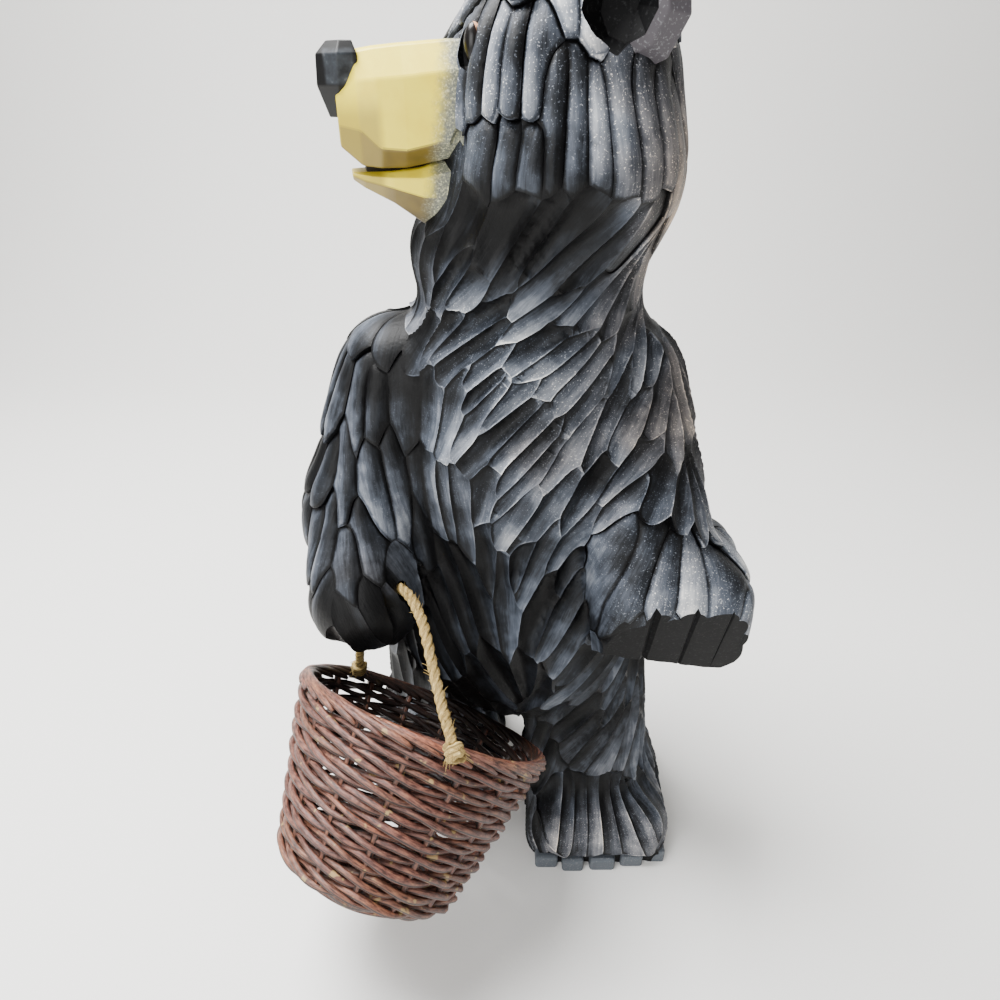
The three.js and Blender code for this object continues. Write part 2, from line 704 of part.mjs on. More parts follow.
function bearSolid() {
  const carved = carveSkin(skinOf(bodyForm, SKIN_LOW, SKIN_HIGH, SKIN_STEP));
  let bear = solidOf(carved.points, carved.triangles).add(snoutSolid());
  for (const side of [1, -1]) {
    const ear = earShapes(side);
    const eye = eyeShapes(side);
    bear = bear.add(ear.outer).subtract(ear.cup).subtract(eye.socket).add(eye.ball);
  }
  for (const { recess, claws } of [clawShapes(LEFT_FOOT, 1), clawShapes(RIGHT_FOOT, -1)]) {
    bear = claws.reduce((solid, claw) => solid.add(claw), bear.subtract(recess));
  }
  const cuts = [
    blockBeyond(PAW_END.point, PAW_END.direction, PAW_BLOCK),
    ...FINGER_PLACES.map(fingerGroove),
    blockBeyond([0, 0, 0], [0, 0, -1], GROUND_BLOCK),
  ];
  return cuts.reduce((solid, cut) => solid.subtract(cut), bear);
}

// Basket frame: the axis leans back to the bear's right leg, where the far side of the rim rests
const BASKET_AXIS = unit([0.3545, 0.6124, 0.7066]);
const BASKET_LOW_SIDE = unit(sub(scale(BASKET_AXIS, BASKET_AXIS[2]), [0, 0, 1]));
const BASKET_LEVEL_SIDE = cross(BASKET_AXIS, BASKET_LOW_SIDE);
const RIM_REST = scale([-17, -12.8, 64.4], UNIT);
const RIM_CENTRE = sub(RIM_REST, scale(BASKET_LOW_SIDE, BASKET_RIM_RADIUS));

// A point of the basket: height below the rim along the axis, radius and angle round it
const basketPoint = (below, radius, angle) =>
  add(
    sub(RIM_CENTRE, scale(BASKET_AXIS, below)),
    add(
      scale(BASKET_LOW_SIDE, radius * Math.cos(angle)),
      scale(BASKET_LEVEL_SIDE, radius * Math.sin(angle)),
    ),
  );

const wallRadius = (below) =>
  BASKET_RIM_RADIUS + ((BASKET_BASE_RADIUS - BASKET_RIM_RADIUS) * below) / BASKET_HEIGHT;

const ring = (below, radiusAt, sides) =>
  Array.from({ length: sides }, (_, i) => basketPoint(below, radiusAt(i), (2 * Math.PI * i) / sides));

// The woven wall: each row of weavers bulges over one stake and dips behind the next
const WEAVE_SWING = 1;
function basketWall() {
  const top = RIM_THICKNESS / 2 + GAP;
  const rows = Math.round((BASKET_HEIGHT - top) / WEAVER_THICKNESS);
  const rowHeight = (BASKET_HEIGHT - top) / rows;
  const sides = 2 * STAKE_COUNT;
  const swing = WEAVE_SWING;
  const outer = [];
  const inner = [];
  for (let row = 0; row < rows; row++) {
    const seam = top + row * rowHeight;
    const crown = seam + rowHeight / 2;
    const wave = (i) => (row % 2 ? swing : -swing) * (i % 2 ? 1 : -1);
    outer.push(ring(seam, () => wallRadius(seam) - swing, sides));
    outer.push(ring(crown, (i) => wallRadius(crown) + wave(i), sides));
  }
  outer.push(ring(BASKET_HEIGHT, () => wallRadius(BASKET_HEIGHT) - swing, sides));
  for (const below of [BASKET_HEIGHT, top])
    inner.push(ring(below, () => wallRadius(below) - WALL_THICKNESS, sides));
  return closedShell([...outer, ...inner]);
}

// A ring of rings that closes on itself, such as a hollow wall
function closedShell(rings) {
  const size = rings[0].length;
  const points = rings.flat();
  const triangles = [];
  rings.forEach((_, r) => {
    const next = (r + 1) % rings.length;
    for (let i = 0; i < size; i++) {
      const j = (i + 1) % size;
      const [a, b, c, d] = [r * size + i, r * size + j, next * size + j, next * size + i];
      triangles.push([a, b, c], [a, c, d]);
    }
  });
  const made = solidOf(points, triangles);
  return made.volume() > 0 ? made : solidOf(points, triangles.map(([a, b, c]) => [a, c, b]));
}

// The base is a plate inside the foot of the wall
function basketBase() {
  const radius = wallRadius(BASKET_HEIGHT) - WALL_THICKNESS - GAP;
  const plate = (below) => ring(below, () => radius, 2 * STAKE_COUNT);
  return loft([plate(BASKET_HEIGHT), plate(BASKET_HEIGHT - BASE_THICKNESS)]);
}

// The border is a thick ring on top of the wall. Its twist swells it over each stake.
const RIM_SWELL = 0.16;
function basketRim() {
  const turns = 2 * STAKE_COUNT;
  const sides = 8;
  const swell = (k) => 1 + RIM_SWELL * (k % 2 ? 1 : -1);
  const line = (i) => {
    const angle = (2 * Math.PI * (i + 0.5)) / sides;
    const below = (Math.sin(angle) * RIM_THICKNESS) / 2;
    const reach = (Math.cos(angle) * RIM_THICKNESS) / 2;
    const place = (k) =>
      basketPoint(
        below < 0 ? below * swell(k) : below,
        BASKET_RIM_RADIUS - WALL_THICKNESS / 2 + reach * swell(k),
        (2 * Math.PI * k) / turns,
      );
    return Array.from({ length: turns }, (_, k) => place(k));
  };
  return closedShell(Array.from({ length: sides }, (_, i) => line(i)));
}

// The rope runs from a knot on the near side of the rim, up through the right paw, to a knot on the far side
const ROPE_ROUTE = [
  [-20, -82.9, 132.6],
  [-21.2, -79.7, 134.5],
  [-22.8, -75.7, 136.8],
  [-24.3, -71.2, 139.2],
  [-25.8, -66.6, 141.7],
  [-27.3, -61.9, 144.4],
  [-28.8, -57, 147.4],
  [-30.3, -52.1, 150.6],
  [-32.3, -47.2, 153.7],
  [-34.9, -42.5, 156.4],
  [-38.3, -38.3, 158.2],
  [-42.2, -34.9, 158],
  [-46, -32.2, 155.6],
  [-49.6, -30, 151.6],
  [-52.8, -28.2, 146.6],
  [-55.6, -26.6, 140.8],
  [-58, -24.9, 134.4],
  [-60, -22.8, 127.2],
  [-61.8, -20.4, 119.6],
  [-63.3, -18, 111.6],
  [-64.7, -15.8, 103.8],
  [-65.6, -14.5, 98.8],
].map((p) => scale(p, UNIT));
// Stretch of the route that lies in the bore through the paw
const BORE_FIRST = 8;
const BORE_LAST = 19;

// A closed tube along a smooth curve through points
function tubeAlong(route, radius, sides, steps) {
  const outline = new THREE.Shape(
    Array.from({ length: sides }, (_, i) => {
      const angle = (2 * Math.PI * i) / sides;
      return new THREE.Vector2(radius * Math.cos(angle), radius * Math.sin(angle));
    }),
  );
  const path = new THREE.CatmullRomCurve3(route.map((p) => new THREE.Vector3(...p)));
  return new THREE.ExtrudeGeometry(outline, { steps, bevelEnabled: false, extrudePath: path });
}

// A knot is a lump wider than the rope, squeezed along it
const KNOT_SQUEEZE = 0.75;
function knot(at, towards) {
  const axis = unit(sub(towards, at));
  const side = unit(cross(axis, [0, 0, 1]));
  const halfLength = KNOT_SQUEEZE * KNOT_RADIUS;
  const centre = sub(at, scale(axis, halfLength + GAP));
  const sizes = [KNOT_RADIUS, KNOT_RADIUS, halfLength];
  return facetedBall(centre, [side, cross(axis, side), axis], sizes, 9, 5);
}

function meshOf(name, solid, material) {
  const made = solid.getMesh();
  const geometry = new THREE.BufferGeometry();
  const positions = new Float32Array(made.numVert * 3);
  for (let v = 0; v < made.numVert; v++)
    for (let i = 0; i < 3; i++) positions[3 * v + i] = made.vertProperties[v * made.numProp + i];
  geometry.setAttribute("position", new THREE.BufferAttribute(positions, 3));
  geometry.setIndex(new THREE.BufferAttribute(made.triVerts, 1));
  geometry.computeVertexNormals();
  const mesh = new THREE.Mesh(geometry, material);
  mesh.name = name;
  return mesh;
}

const bore = solidOfGeometry(
  tubeAlong(ROPE_ROUTE.slice(BORE_FIRST, BORE_LAST + 1), ROPE_DIAMETER / 2 + BORE_CLEARANCE, 10, 22),
);
const bear = bearSolid().scale(UNIT).subtract(bore);
const rope = solidOfGeometry(tubeAlong(ROPE_ROUTE, ROPE_DIAMETER / 2, 8, 34));
const last = ROPE_ROUTE.length - 1;

const standing = [
  meshOf("bear", bear, RESIN),
  meshOf("basket_wall", basketWall(), WILLOW),
  meshOf("basket_base", basketBase(), WILLOW),
  meshOf("basket_rim", basketRim(), WILLOW),
];
const hanging = [
  meshOf("handle_rope", rope, JUTE),
  meshOf("rope_knot_near", knot(ROPE_ROUTE[0], ROPE_ROUTE[1]), JUTE),
  meshOf("rope_knot_far", knot(ROPE_ROUTE[last], ROPE_ROUTE[last - 1]), JUTE),
];

const greeter = new THREE.Group();
greeter.add(...standing, ...hanging);
const box = new THREE.Box3();
for (const mesh of standing) box.expandByObject(mesh);
const middle = box.getCenter(new THREE.Vector3());
greeter.position.set(-middle.x, -middle.y, -box.min.z);

export default greeter;
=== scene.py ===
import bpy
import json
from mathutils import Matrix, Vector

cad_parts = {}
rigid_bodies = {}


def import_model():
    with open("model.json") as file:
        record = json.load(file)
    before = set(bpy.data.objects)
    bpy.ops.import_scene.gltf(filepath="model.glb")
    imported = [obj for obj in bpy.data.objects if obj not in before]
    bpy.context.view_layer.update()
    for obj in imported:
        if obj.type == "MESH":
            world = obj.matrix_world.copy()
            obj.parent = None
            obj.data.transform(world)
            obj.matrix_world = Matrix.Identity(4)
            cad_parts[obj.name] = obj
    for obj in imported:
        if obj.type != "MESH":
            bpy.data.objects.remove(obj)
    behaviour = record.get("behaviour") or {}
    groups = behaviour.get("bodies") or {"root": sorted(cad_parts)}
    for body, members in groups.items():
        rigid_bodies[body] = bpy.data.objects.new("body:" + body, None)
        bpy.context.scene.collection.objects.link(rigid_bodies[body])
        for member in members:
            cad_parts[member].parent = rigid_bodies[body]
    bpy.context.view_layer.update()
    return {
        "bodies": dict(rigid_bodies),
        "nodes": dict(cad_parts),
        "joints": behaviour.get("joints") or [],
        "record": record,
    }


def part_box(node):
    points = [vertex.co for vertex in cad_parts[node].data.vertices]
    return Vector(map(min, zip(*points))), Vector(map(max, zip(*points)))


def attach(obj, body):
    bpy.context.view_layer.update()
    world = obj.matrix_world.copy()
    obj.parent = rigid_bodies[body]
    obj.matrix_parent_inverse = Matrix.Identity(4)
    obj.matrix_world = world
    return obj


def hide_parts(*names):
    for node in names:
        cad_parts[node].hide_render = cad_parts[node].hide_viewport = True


bl_info = {
    "name": "Bear door greeter",
    "version": (1, 0, 0),
    "blender": (4, 5, 0),
    "location": "View3D > Sidebar > Greeter",
    "description": "Builds a carved-fur resin bear that holds a small willow basket by a jute rope",
    "category": "Add Mesh",
}

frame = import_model()

import json
import math

import bpy
import numpy as np
from mathutils import Vector

MM = 0.001
TURN = 2 * math.pi
UP = np.array([0.0, 0.0, 1.0])

# Basket in millimetres. Levels are counted down from the rim along its axis.
BASKET_RIM_RADIUS = 50.0
BASKET_BASE_RADIUS = 34.0
BASKET_HEIGHT = 61.5
BASKET_BASE_THICKNESS = 4.0
WALL_THICKNESS = 3.6
# Wall: its stakes and its weave, and how far each has its middle inside the outer face
STAKE_COUNT = 15
STAKE_TOP = 0.5
STAKE_WAVER = 0.01
STAKE_DEPTH = 1.8
WEAVE_TOP = 2.4
WEAVE_BOTTOM = BASKET_HEIGHT - 1.6
WEAVE_DEPTH = 1.6
WEAVE_CROSSING = 0.3
# Border: how many stakes each rod passes, and its radius
BORDER_REACH = 2.8
BORDER_ROD = 1.25
# Foot: rings of a coil over crossed sticks, with rods round its edge
FOOT_LEVEL = BASKET_HEIGHT - 2.2
FOOT_HEART = 3.0
FOOT_MARGIN = 3.5
FOOT_RINGS = 8
FOOT_ROD = 1.75
FOOT_STICKS = 8
FOOT_STICK = 1.2
FOOT_EDGE_RODS = 3
# Lowest point of the rim
RIM_REST = np.array([-17.0, -12.8, 64.4])


def unit(v):
    v = np.asarray(v, float)
    return v / max(np.linalg.norm(v), 1e-12)


BASKET_AXIS = unit([0.3545, 0.6124, 0.7066])
LOW_SIDE = unit(BASKET_AXIS * BASKET_AXIS[2] - UP)
LEVEL_SIDE = np.cross(BASKET_AXIS, LOW_SIDE)
RIM_CENTRE = RIM_REST - LOW_SIDE * BASKET_RIM_RADIUS


def middle_of(node):
    low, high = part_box(node)
    return (np.array(low) + np.array(high)) / 2 / MM


# The figure's own origin in the row frame, in millimetres. The basket's base gives it, and every place below
# is counted from it.
BASE_CENTRE = RIM_CENTRE - BASKET_AXIS * (BASKET_HEIGHT - BASKET_BASE_THICKNESS / 2)
FIGURE_ORIGIN = middle_of("basket_base") - BASE_CENTRE

# Camera of the photograph: place over the figure's origin, how far it looks down and its lens
CAMERA_PLACE = np.array([-4.8, -226.0, 313.0])
CAMERA_DOWN = 31.75
CAMERA_SENSOR = 36.0
CAMERA_LENS = 24.372
CAMERA_NEAR = 0.005
# Floor: how far it reaches, where it turns up behind the figure, and how round and high it is there
FLOOR_REACH = 4.0
SWEEP_START = 0.55
SWEEP_RADIUS = 0.4
SWEEP_HEIGHT = 3.0
# Soft lamps: name, size, energy and place. They point at the middle of the figure.
LAMPS = [
    ("overhead", 0.5, 33.0, (-0.3, 0.1, 1.0)),
    ("front", 0.8, 13.0, (-0.6, -0.9, 0.6)),
]
LAMP_AIM = Vector((0, 0, 0.17))
ROOM_COLOUR = (0.78, 0.77, 0.76, 1)
ROOM_STRENGTH = 0.64

# Rope: its thickness, a strand's radius as a share of that, and the coil of a knot
ROPE_DIAMETER = 4.0
STRAND_SHARE = 0.27
KNOT_TURNS = 2.5
KNOT_LENGTH = 4.4
KNOT_COIL = 1.9
FIBRE_RADIUS = 0.14
# Rope route from the knot on the near side of the rim, through the paw, to the knot on the far side
ROPE_ROUTE_M = [
    (-0.0200, -0.0829, 0.1326),
    (-0.0212, -0.0797, 0.1345),
    (-0.0228, -0.0757, 0.1368),
    (-0.0243, -0.0712, 0.1392),
    (-0.0258, -0.0666, 0.1417),
    (-0.0273, -0.0619, 0.1444),
    (-0.0288, -0.0570, 0.1474),
    (-0.0303, -0.0521, 0.1506),
    (-0.0323, -0.0472, 0.1537),
    (-0.0349, -0.0425, 0.1564),
    (-0.0383, -0.0383, 0.1582),
    (-0.0422, -0.0349, 0.1580),
    (-0.0460, -0.0322, 0.1556),
    (-0.0496, -0.0300, 0.1516),
    (-0.0528, -0.0282, 0.1466),
    (-0.0556, -0.0266, 0.1408),
    (-0.0580, -0.0249, 0.1344),
    (-0.0600, -0.0228, 0.1272),
    (-0.0618, -0.0204, 0.1196),
    (-0.0633, -0.0180, 0.1116),
    (-0.0647, -0.0158, 0.1038),
    (-0.0656, -0.0145, 0.0988),
]
# Stretch of the route that lies in the bore through the paw
BORE_FIRST = 8
BORE_LAST = 19
BORE_CLEARANCE = 1.2

# Body masses in figure millimetres. Ellipsoids: centre and half sizes.
BELLY = ([3, 2, 126], [53, 44, 59])
CROTCH = ([5, 14, 66], [17, 19, 13])
CHEST = ([2, 3, 190], [47, 40, 58])
SHOULDERS = ([2, 6, 232], [44, 34, 24])
THROAT = ([-5, 0, 268], [27, 28, 17])
SKULL = ([12, 4, 306], [35, 39, 44])
CHEEKS = ([16, 3, 291], [33, 42, 27])
# Limbs: two ends and the radius at each end
NECK = ([7, 6, 248], [10, 5, 282], 34, 35)
RIGHT_UPPER_ARM = ([-40, 6, 223], [-55, -6, 176], 23, 22.5)
RIGHT_FOREARM = ([-55, -6, 176], [-55, -28, 149], 22.5, 21)
LEFT_UPPER_ARM = ([38, 6, 220], [46, -13, 183], 24, 23.5)
LEFT_FOREARM = ([43, -22, 178], [54, -26, 160], 22, 23)
LEFT_LEG = ([33, 4, 88], [38, -2, 30], 28, 29)
RIGHT_LEG = ([-30, 24.5, 88], [-33, 30.5, 30], 29, 28)
# Paw and feet: centre, half sizes and corner radius
LEFT_PAW = ([57, -24, 145], [28, 28, 25], 13)
LEFT_FOOT = ([41, -8.3, 10], [33, 38.3, 19], 15)
RIGHT_FOOT = ([-37, 26.6, 10], [33, 37.4, 19], 15)
# Planes that cut the left paw's underside and its end: a point, and the way the plane faces
PAW_UNDERSIDE_POINT = np.array([60.0, -30.0, 126.2])
PAW_UNDERSIDE_FACING = unit([-0.25, -0.1, -1])
PAW_END_POINT = np.array([57.0, -46.5, 140.0])
PAW_END_FACING = unit([0.04, -1, -0.32])
# The head has its own directions, and places on it are counted from its middle
HEAD_TURN = math.radians(12)
HEAD_CENTRE = np.array(SKULL[0], float)
HEAD_FORWARD = np.array([-math.cos(HEAD_TURN), -math.sin(HEAD_TURN), 0])
HEAD_LEFT = np.array([math.sin(HEAD_TURN), -math.cos(HEAD_TURN), 0])


def head_point(forward, left, up):
    return HEAD_CENTRE + HEAD_FORWARD * forward + HEAD_LEFT * left + UP * up


# The forehead slopes back over the brow, as one plane
FOREHEAD_POINT = head_point(27.5, 0, 22.7)
FOREHEAD_FACING = HEAD_FORWARD * 0.8 + UP * 0.6
# Fillets where the masses meet
TORSO_FILLET = 14
HEAD_FILLET = 8
ELBOW_FILLET = 6
PAW_FILLET = 8
ANKLE_FILLET = 14
HIP_FILLET = 10
SHOULDER_FILLET = 6
NECK_FILLET = 10
# Distances from a gouge's border that count as on it and, for the paint, as far from it
ON_BORDER = 0.01
FAR = 4.0
# Corners of the grid that the skin is drawn on
SKIN_LOW = np.array([-95.0, -75.0, -18.0])
SKIN_HIGH = np.array([100.0, 80.0, 362.0])

# Which way the fur runs: a place on the figure, the direction of the gouge there and how far it reaches
FUR_FLOW = [
    ([0, -38, 325], [0.05, 0, -1], 26),
    ([38, -25, 320], [0.3, 0, -1], 24),
    ([48, -20, 290], [-0.15, 0, -1], 22),
    ([10, -40, 290], [-0.1, 0, -1], 20),
    ([-20, -25, 275], [-0.5, 0, -1], 20),
    ([25, -32, 268], [-1, 0, -0.7], 20),
    ([-8, -34, 252], [-1, 0, -0.42], 22),
    ([18, -38, 235], [-1, 0, -0.6], 24),
    ([-10, -40, 222], [-0.8, 0, -0.75], 20),
    ([12, -42, 200], [-0.75, 0, -0.95], 24),
    ([-26, -36, 218], [0.4, 0, -1], 14),
    ([-28, -38, 195], [0.45, 0, -1], 16),
    ([-56, 0, 215], [0.05, 0, -1], 26),
    ([-60, -10, 170], [0.05, 0, -1], 28),
    ([40, -25, 225], [-0.5, 0, -1], 22),
    ([62, 0, 200], [0.1, 0, -1], 26),
    ([42, -35, 188], [-0.6, 0, -0.8], 20),
    ([58, -50, 165], [0.05, -0.5, -1], 26),
    ([-18, -44, 160], [0.5, 0, -0.85], 24),
    ([18, -46, 160], [-0.65, 0, -0.75], 24),
    ([-10, -42, 120], [0.6, 0, -0.8], 24),
    ([32, -38, 110], [-0.75, 0, -0.65], 28),
    ([50, 0, 90], [-0.3, 0, -1], 26),
    ([36, -34, 66], [-0.65, 0, -0.75], 20),
    ([40, -30, 42], [-0.1, -0.3, -1], 16),
    ([5, -22, 84], [0.2, 0.5, -0.8], 15),
    ([20, -40, 25], [-0.25, -1, -0.8], 18),
    ([42, -46, 20], [0.2, -1, -0.8], 18),
    ([66, -40, 20], [1.1, -0.9, -0.8], 18),
    ([-45, 0, 60], [-0.1, 0, -1], 30),
    ([0, 50, 300], [0, 0, -1], 40),
    ([0, 45, 220], [0, 0, -1], 50),
    ([0, 48, 140], [0, 0, -1], 50),
    ([0, 48, 60], [0, 0, -1], 50),
]
# What is left of each row's pull far away from it, so that no place is without one
FAR_FLOW = 1e-6
FAR_ZONE = 1e-5
# Zones of the fur: a place, how pale the brushed-on paint is there, how warm it is, the size of the gouges,
# how much they lie in tiers, and how far the zone reaches
FUR_ZONES = [
    ([20, -20, 345], 1.05, 0.2, 0.9, 0.8, 26),
    ([0, -38, 318], 0.80, 0.1, 1.0, 0.8, 24),
    ([42, -15, 315], 0.85, 0.5, 1.0, 0.8, 22),
    ([50, 0, 292], 1.35, 1.0, 1.0, 0.8, 22),
    ([0, -40, 296], 0.30, 0.0, 0.8, 0.7, 12),
    ([5, -38, 270], -0.6, 0.1, 0.85, 0.0, 17),
    ([-4, -38, 248], 0.78, 0.0, 0.78, 0.0, 20),
    ([32, -34, 248], 0.48, 0.5, 0.85, 0.0, 14),
    ([20, -40, 228], 0.68, 0.1, 0.95, 0.0, 20),
    ([8, -42, 212], 0.62, 1.0, 1.0, 0.0, 10),
    ([-20, -38, 214], 0.44, 0.1, 0.95, 0.1, 18),
    ([6, -42, 192], 0.54, 0.2, 1.05, 0.0, 22),
    ([-58, -10, 215], 0.36, 0.1, 0.95, 0.75, 26),
    ([-60, -25, 178], 0.38, 0.1, 1.0, 0.75, 24),
    ([-52, -42, 163], 0.38, 0.7, 1.0, 0.75, 11),
    ([-50, -46, 143], -0.7, 0.0, 1.2, 0.0, 14),
    ([50, -10, 222], 0.60, 0.7, 0.9, 0.0, 26),
    ([50, -40, 190], 0.60, 0.2, 0.95, 0.2, 20),
    ([60, -45, 160], 1.0, 0.1, 1.1, 0.75, 22),
    ([0, -46, 155], 0.10, 0.0, 1.15, 0.0, 26),
    ([0, -44, 115], 0.02, 0.0, 1.15, 0.0, 30),
    ([35, -38, 105], 0.08, 0.1, 1.05, 0.0, 26),
    ([45, -30, 50], 0.12, 0.2, 0.95, 0.0, 24),
    ([44, -42, 22], 0.80, 0.4, 0.8, 0.0, 20),
    ([44, -48, 7], 0.0, 0.2, 0.8, 0.0, 11),
    ([0, 48, 300], 0.45, 0.3, 1.25, 0.2, 40),
    ([0, 45, 220], 0.38, 0.3, 1.35, 0.1, 45),
    ([0, 48, 130], 0.22, 0.2, 1.35, 0.1, 45),
    ([-45, 20, 50], 0.10, 0.1, 1.1, 0.0, 35),
]
# Rows of gouges that are laid first: from, to, number side by side, length of each and how blunt they are
FUR_ROWS = [
    ([-11, -24, 316], [3, -33, 315], 4, 25, 1.0),
    ([8.5, -36, 304], [20, -36, 304], 3, 25, 1.0),
    ([-10, -29, 297], [3, -37, 297], 3, 15, 1.0),
    ([26, -33, 305], [44, -17, 300], 4, 25, 1.0),
    ([32, -41, 172], [42, -45, 170], 2, 34, 1.0),
    ([50, -47, 169], [71, -48, 166], 3, 32, 1.0),
    ([20, -38, 24], [68, -33, 22], 9, 34, 0.2),
]
# How the gouges are laid: the share of the skin's points that are tried, the most gouges, how near two may
# be, half a gouge as a share of its reach, the height of a tier in gouge lengths, the share of its width
# that a gouge keeps in any zone, and how the rise of a tier grows with bluntness
TRIED_SHARE = 0.55
MOST_GOUGES = 3000
GOUGE_SPACING = 0.72
HALF_SPACING = 0.425
TIER_SHARE = 0.86
WIDTH_KEPT = 0.35
TIER_LEAST = 0.4
TIER_GROWTH = 0.8
# How the gouges are shaped: how much a blunt one narrows at its lower end and how squarely it ends, the power
# of the profile from its middle to its border, the place on that profile that is level with the form, how
# fast the hollow is lost as gouges get blunter, the roundest that they get, and how far their rise goes on
END_ROUNDING = 1.3
WIDEST_END = 0.25
END_SQUARENESS = 5.5
SIDE_POWER = 0.75
LEVEL_PLACE = 0.72
HOLLOW_LOSS = 2.2
MOST_ROUND = -0.52
RUN_LIMIT = 1.3
# How far a gouge's claim reaches in its own half lengths, and how height over it and facing another way count
CLAIM_REACH = 1.3
HEIGHT_WEIGHT = 1.2
SAME_SIDE = 0.2
TURNED_AWAY = 0.3
TURNED_COST = 4
# How often the borders are evened out, and how far a point may move onto one, in steps of the skin
BORDER_PASSES = 7
BORDER_MOVE = 0.62
# Parts in which the skin's grid is worked out, to spare memory
GRID_PARTS = 12


# Distance functions on rows of points, in figure millimetres
def length_of(q):
    return np.sqrt(np.einsum("ij,ij->i", q, q))


def ellipsoid(p, centre, radii):
    q = p - np.array(centre, float)
    radii = np.array(radii, float)
    near = length_of(q / radii)
    slope = length_of(q / radii**2)
    return near * (near - 1) / np.maximum(slope, 1e-9)


def limb(p, a, b, radius_a, radius_b):
    a = np.array(a, float)
    axis = np.array(b, float) - a
    along = np.clip((p - a) @ axis / (axis @ axis), 0, 1)
    return length_of(p - a - along[:, None] * axis) - radius_a - (radius_b - radius_a) * along


def rounded_box(p, centre, half, radius):
    q = np.abs(p - np.array(centre, float)) - np.array(half, float) + radius
    return length_of(np.maximum(q, 0)) + np.minimum(0, q.max(axis=1)) - radius


def blend(a, b, k):
    h = np.maximum(k - np.abs(a - b), 0) / k
    return np.minimum(a, b) - h * h * k / 4


def body_form(p):
    """Distance to the bear without its muzzle, nose and ears."""
    torso = ellipsoid(p, *BELLY)
    for mass in (ellipsoid(p, *CROTCH), ellipsoid(p, *CHEST), ellipsoid(p, *SHOULDERS),
                 limb(p, *NECK), ellipsoid(p, *THROAT)):
        torso = blend(torso, mass, TORSO_FILLET)
    head = blend(ellipsoid(p, *SKULL), ellipsoid(p, *CHEEKS), HEAD_FILLET)
    head = np.maximum(head, (p - FOREHEAD_POINT) @ FOREHEAD_FACING)
    right_arm = blend(limb(p, *RIGHT_UPPER_ARM), limb(p, *RIGHT_FOREARM), ELBOW_FILLET)
    left_arm = blend(limb(p, *LEFT_UPPER_ARM), limb(p, *LEFT_FOREARM), PAW_FILLET)
    left_arm = blend(left_arm, rounded_box(p, *LEFT_PAW), PAW_FILLET)
    left_arm = np.maximum(left_arm, (p - PAW_UNDERSIDE_POINT) @ PAW_UNDERSIDE_FACING)
    left_leg = blend(limb(p, *LEFT_LEG), rounded_box(p, *LEFT_FOOT), ANKLE_FILLET)
    right_leg = blend(limb(p, *RIGHT_LEG), rounded_box(p, *RIGHT_FOOT), ANKLE_FILLET)
    trunk = blend(np.minimum(left_leg, right_leg), torso, HIP_FILLET)
    limbed = blend(trunk, np.minimum(left_arm, right_arm), SHOULDER_FILLET)
    return blend(limbed, head, NECK_FILLET)


def normals_of(p, reach=0.5):
    slope = np.stack(
        [body_form(p + reach * axis) - body_form(p - reach * axis) for axis in np.eye(3)], axis=1)
    return slope / np.maximum(length_of(slope), 1e-9)[:, None]


def on_form(p):
    """The points moved onto the form. Three steps bring them near enough."""
    for _ in range(3):
        p = p - normals_of(p) * body_form(p)[:, None]
    return p


def skin_of(step):
    """Closed skin of the body form: one point in each cell of a cubic grid that the surface crosses."""
    count = np.ceil((SKIN_HIGH - SKIN_LOW) / step).astype(int) + 1
    axes = [SKIN_LOW[i] + step * np.arange(count[i]) for i in range(3)]
    grid = np.stack(np.meshgrid(*axes, indexing="ij"), axis=-1).reshape(-1, 3)
    value = np.concatenate([body_form(part) for part in np.array_split(grid, GRID_PARTS)]).reshape(count)
    inside = value < 0
    corners = [(c & 1, (c >> 1) & 1, c >> 2) for c in range(8)]

    def shifted(array, corner):
        i, j, k = corner
        return array[i:count[0] - 1 + i, j:count[1] - 1 + j, k:count[2] - 1 + k]

    filled = sum(shifted(inside, c).astype(int) for c in corners)
    cells = np.argwhere((filled > 0) & (filled < 8))
    number = -np.ones(count, int)
    number[tuple(cells.T)] = np.arange(len(cells))
    total = np.zeros((len(cells), 3))
    crossings = np.zeros(len(cells))
    for a in range(8):
        for bit in (1, 2, 4):
            if a & bit:
                continue
            low, high = np.array(corners[a]), np.array(corners[a | bit])
            va = value[tuple((cells + low).T)]
            vb = value[tuple((cells + high).T)]
            cut = (va < 0) != (vb < 0)
            share = np.where(cut, va / np.where(cut, va - vb, 1), 0)[:, None]
            total += np.where(cut[:, None], low * (1 - share) + high * share, 0)
            crossings += cut
    points = SKIN_LOW + step * (cells + total / crossings[:, None])
    triangles = []
    for axis in range(3):
        along = np.eye(3, dtype=int)[axis]
        u = np.eye(3, dtype=int)[(axis + 1) % 3]
        w = np.eye(3, dtype=int)[(axis + 2) % 3]
        inner = np.argwhere(np.ones(count - 2, bool)) + 1
        a = inside[tuple(inner.T)]
        b = inside[tuple((inner + along).T)]
        edge = inner[a != b]
        out = a[a != b]
        ring = [number[tuple((edge - m * u - n * w).T)] for m, n in ((1, 1), (0, 1), (0, 0), (1, 0))]
        ring = np.stack(ring, axis=1)
        ring = np.where(out[:, None], ring, ring[:, ::-1])
        triangles += [ring[:, [0, 1, 2]], ring[:, [0, 2, 3]]]
    return points, np.concatenate(triangles)


def fur_direction(p, normals):
    total = np.zeros_like(p)
    for place, direction, reach in FUR_FLOW:
        away = length_of(p - np.array(place, float)) / reach
        total += unit(direction) * (np.exp(-away * away) + FAR_FLOW / (1 + away))[:, None]
    flat = total - normals * np.einsum("ij,ij->i", total, normals)[:, None]
    return flat / np.maximum(length_of(flat), 1e-12)[:, None]


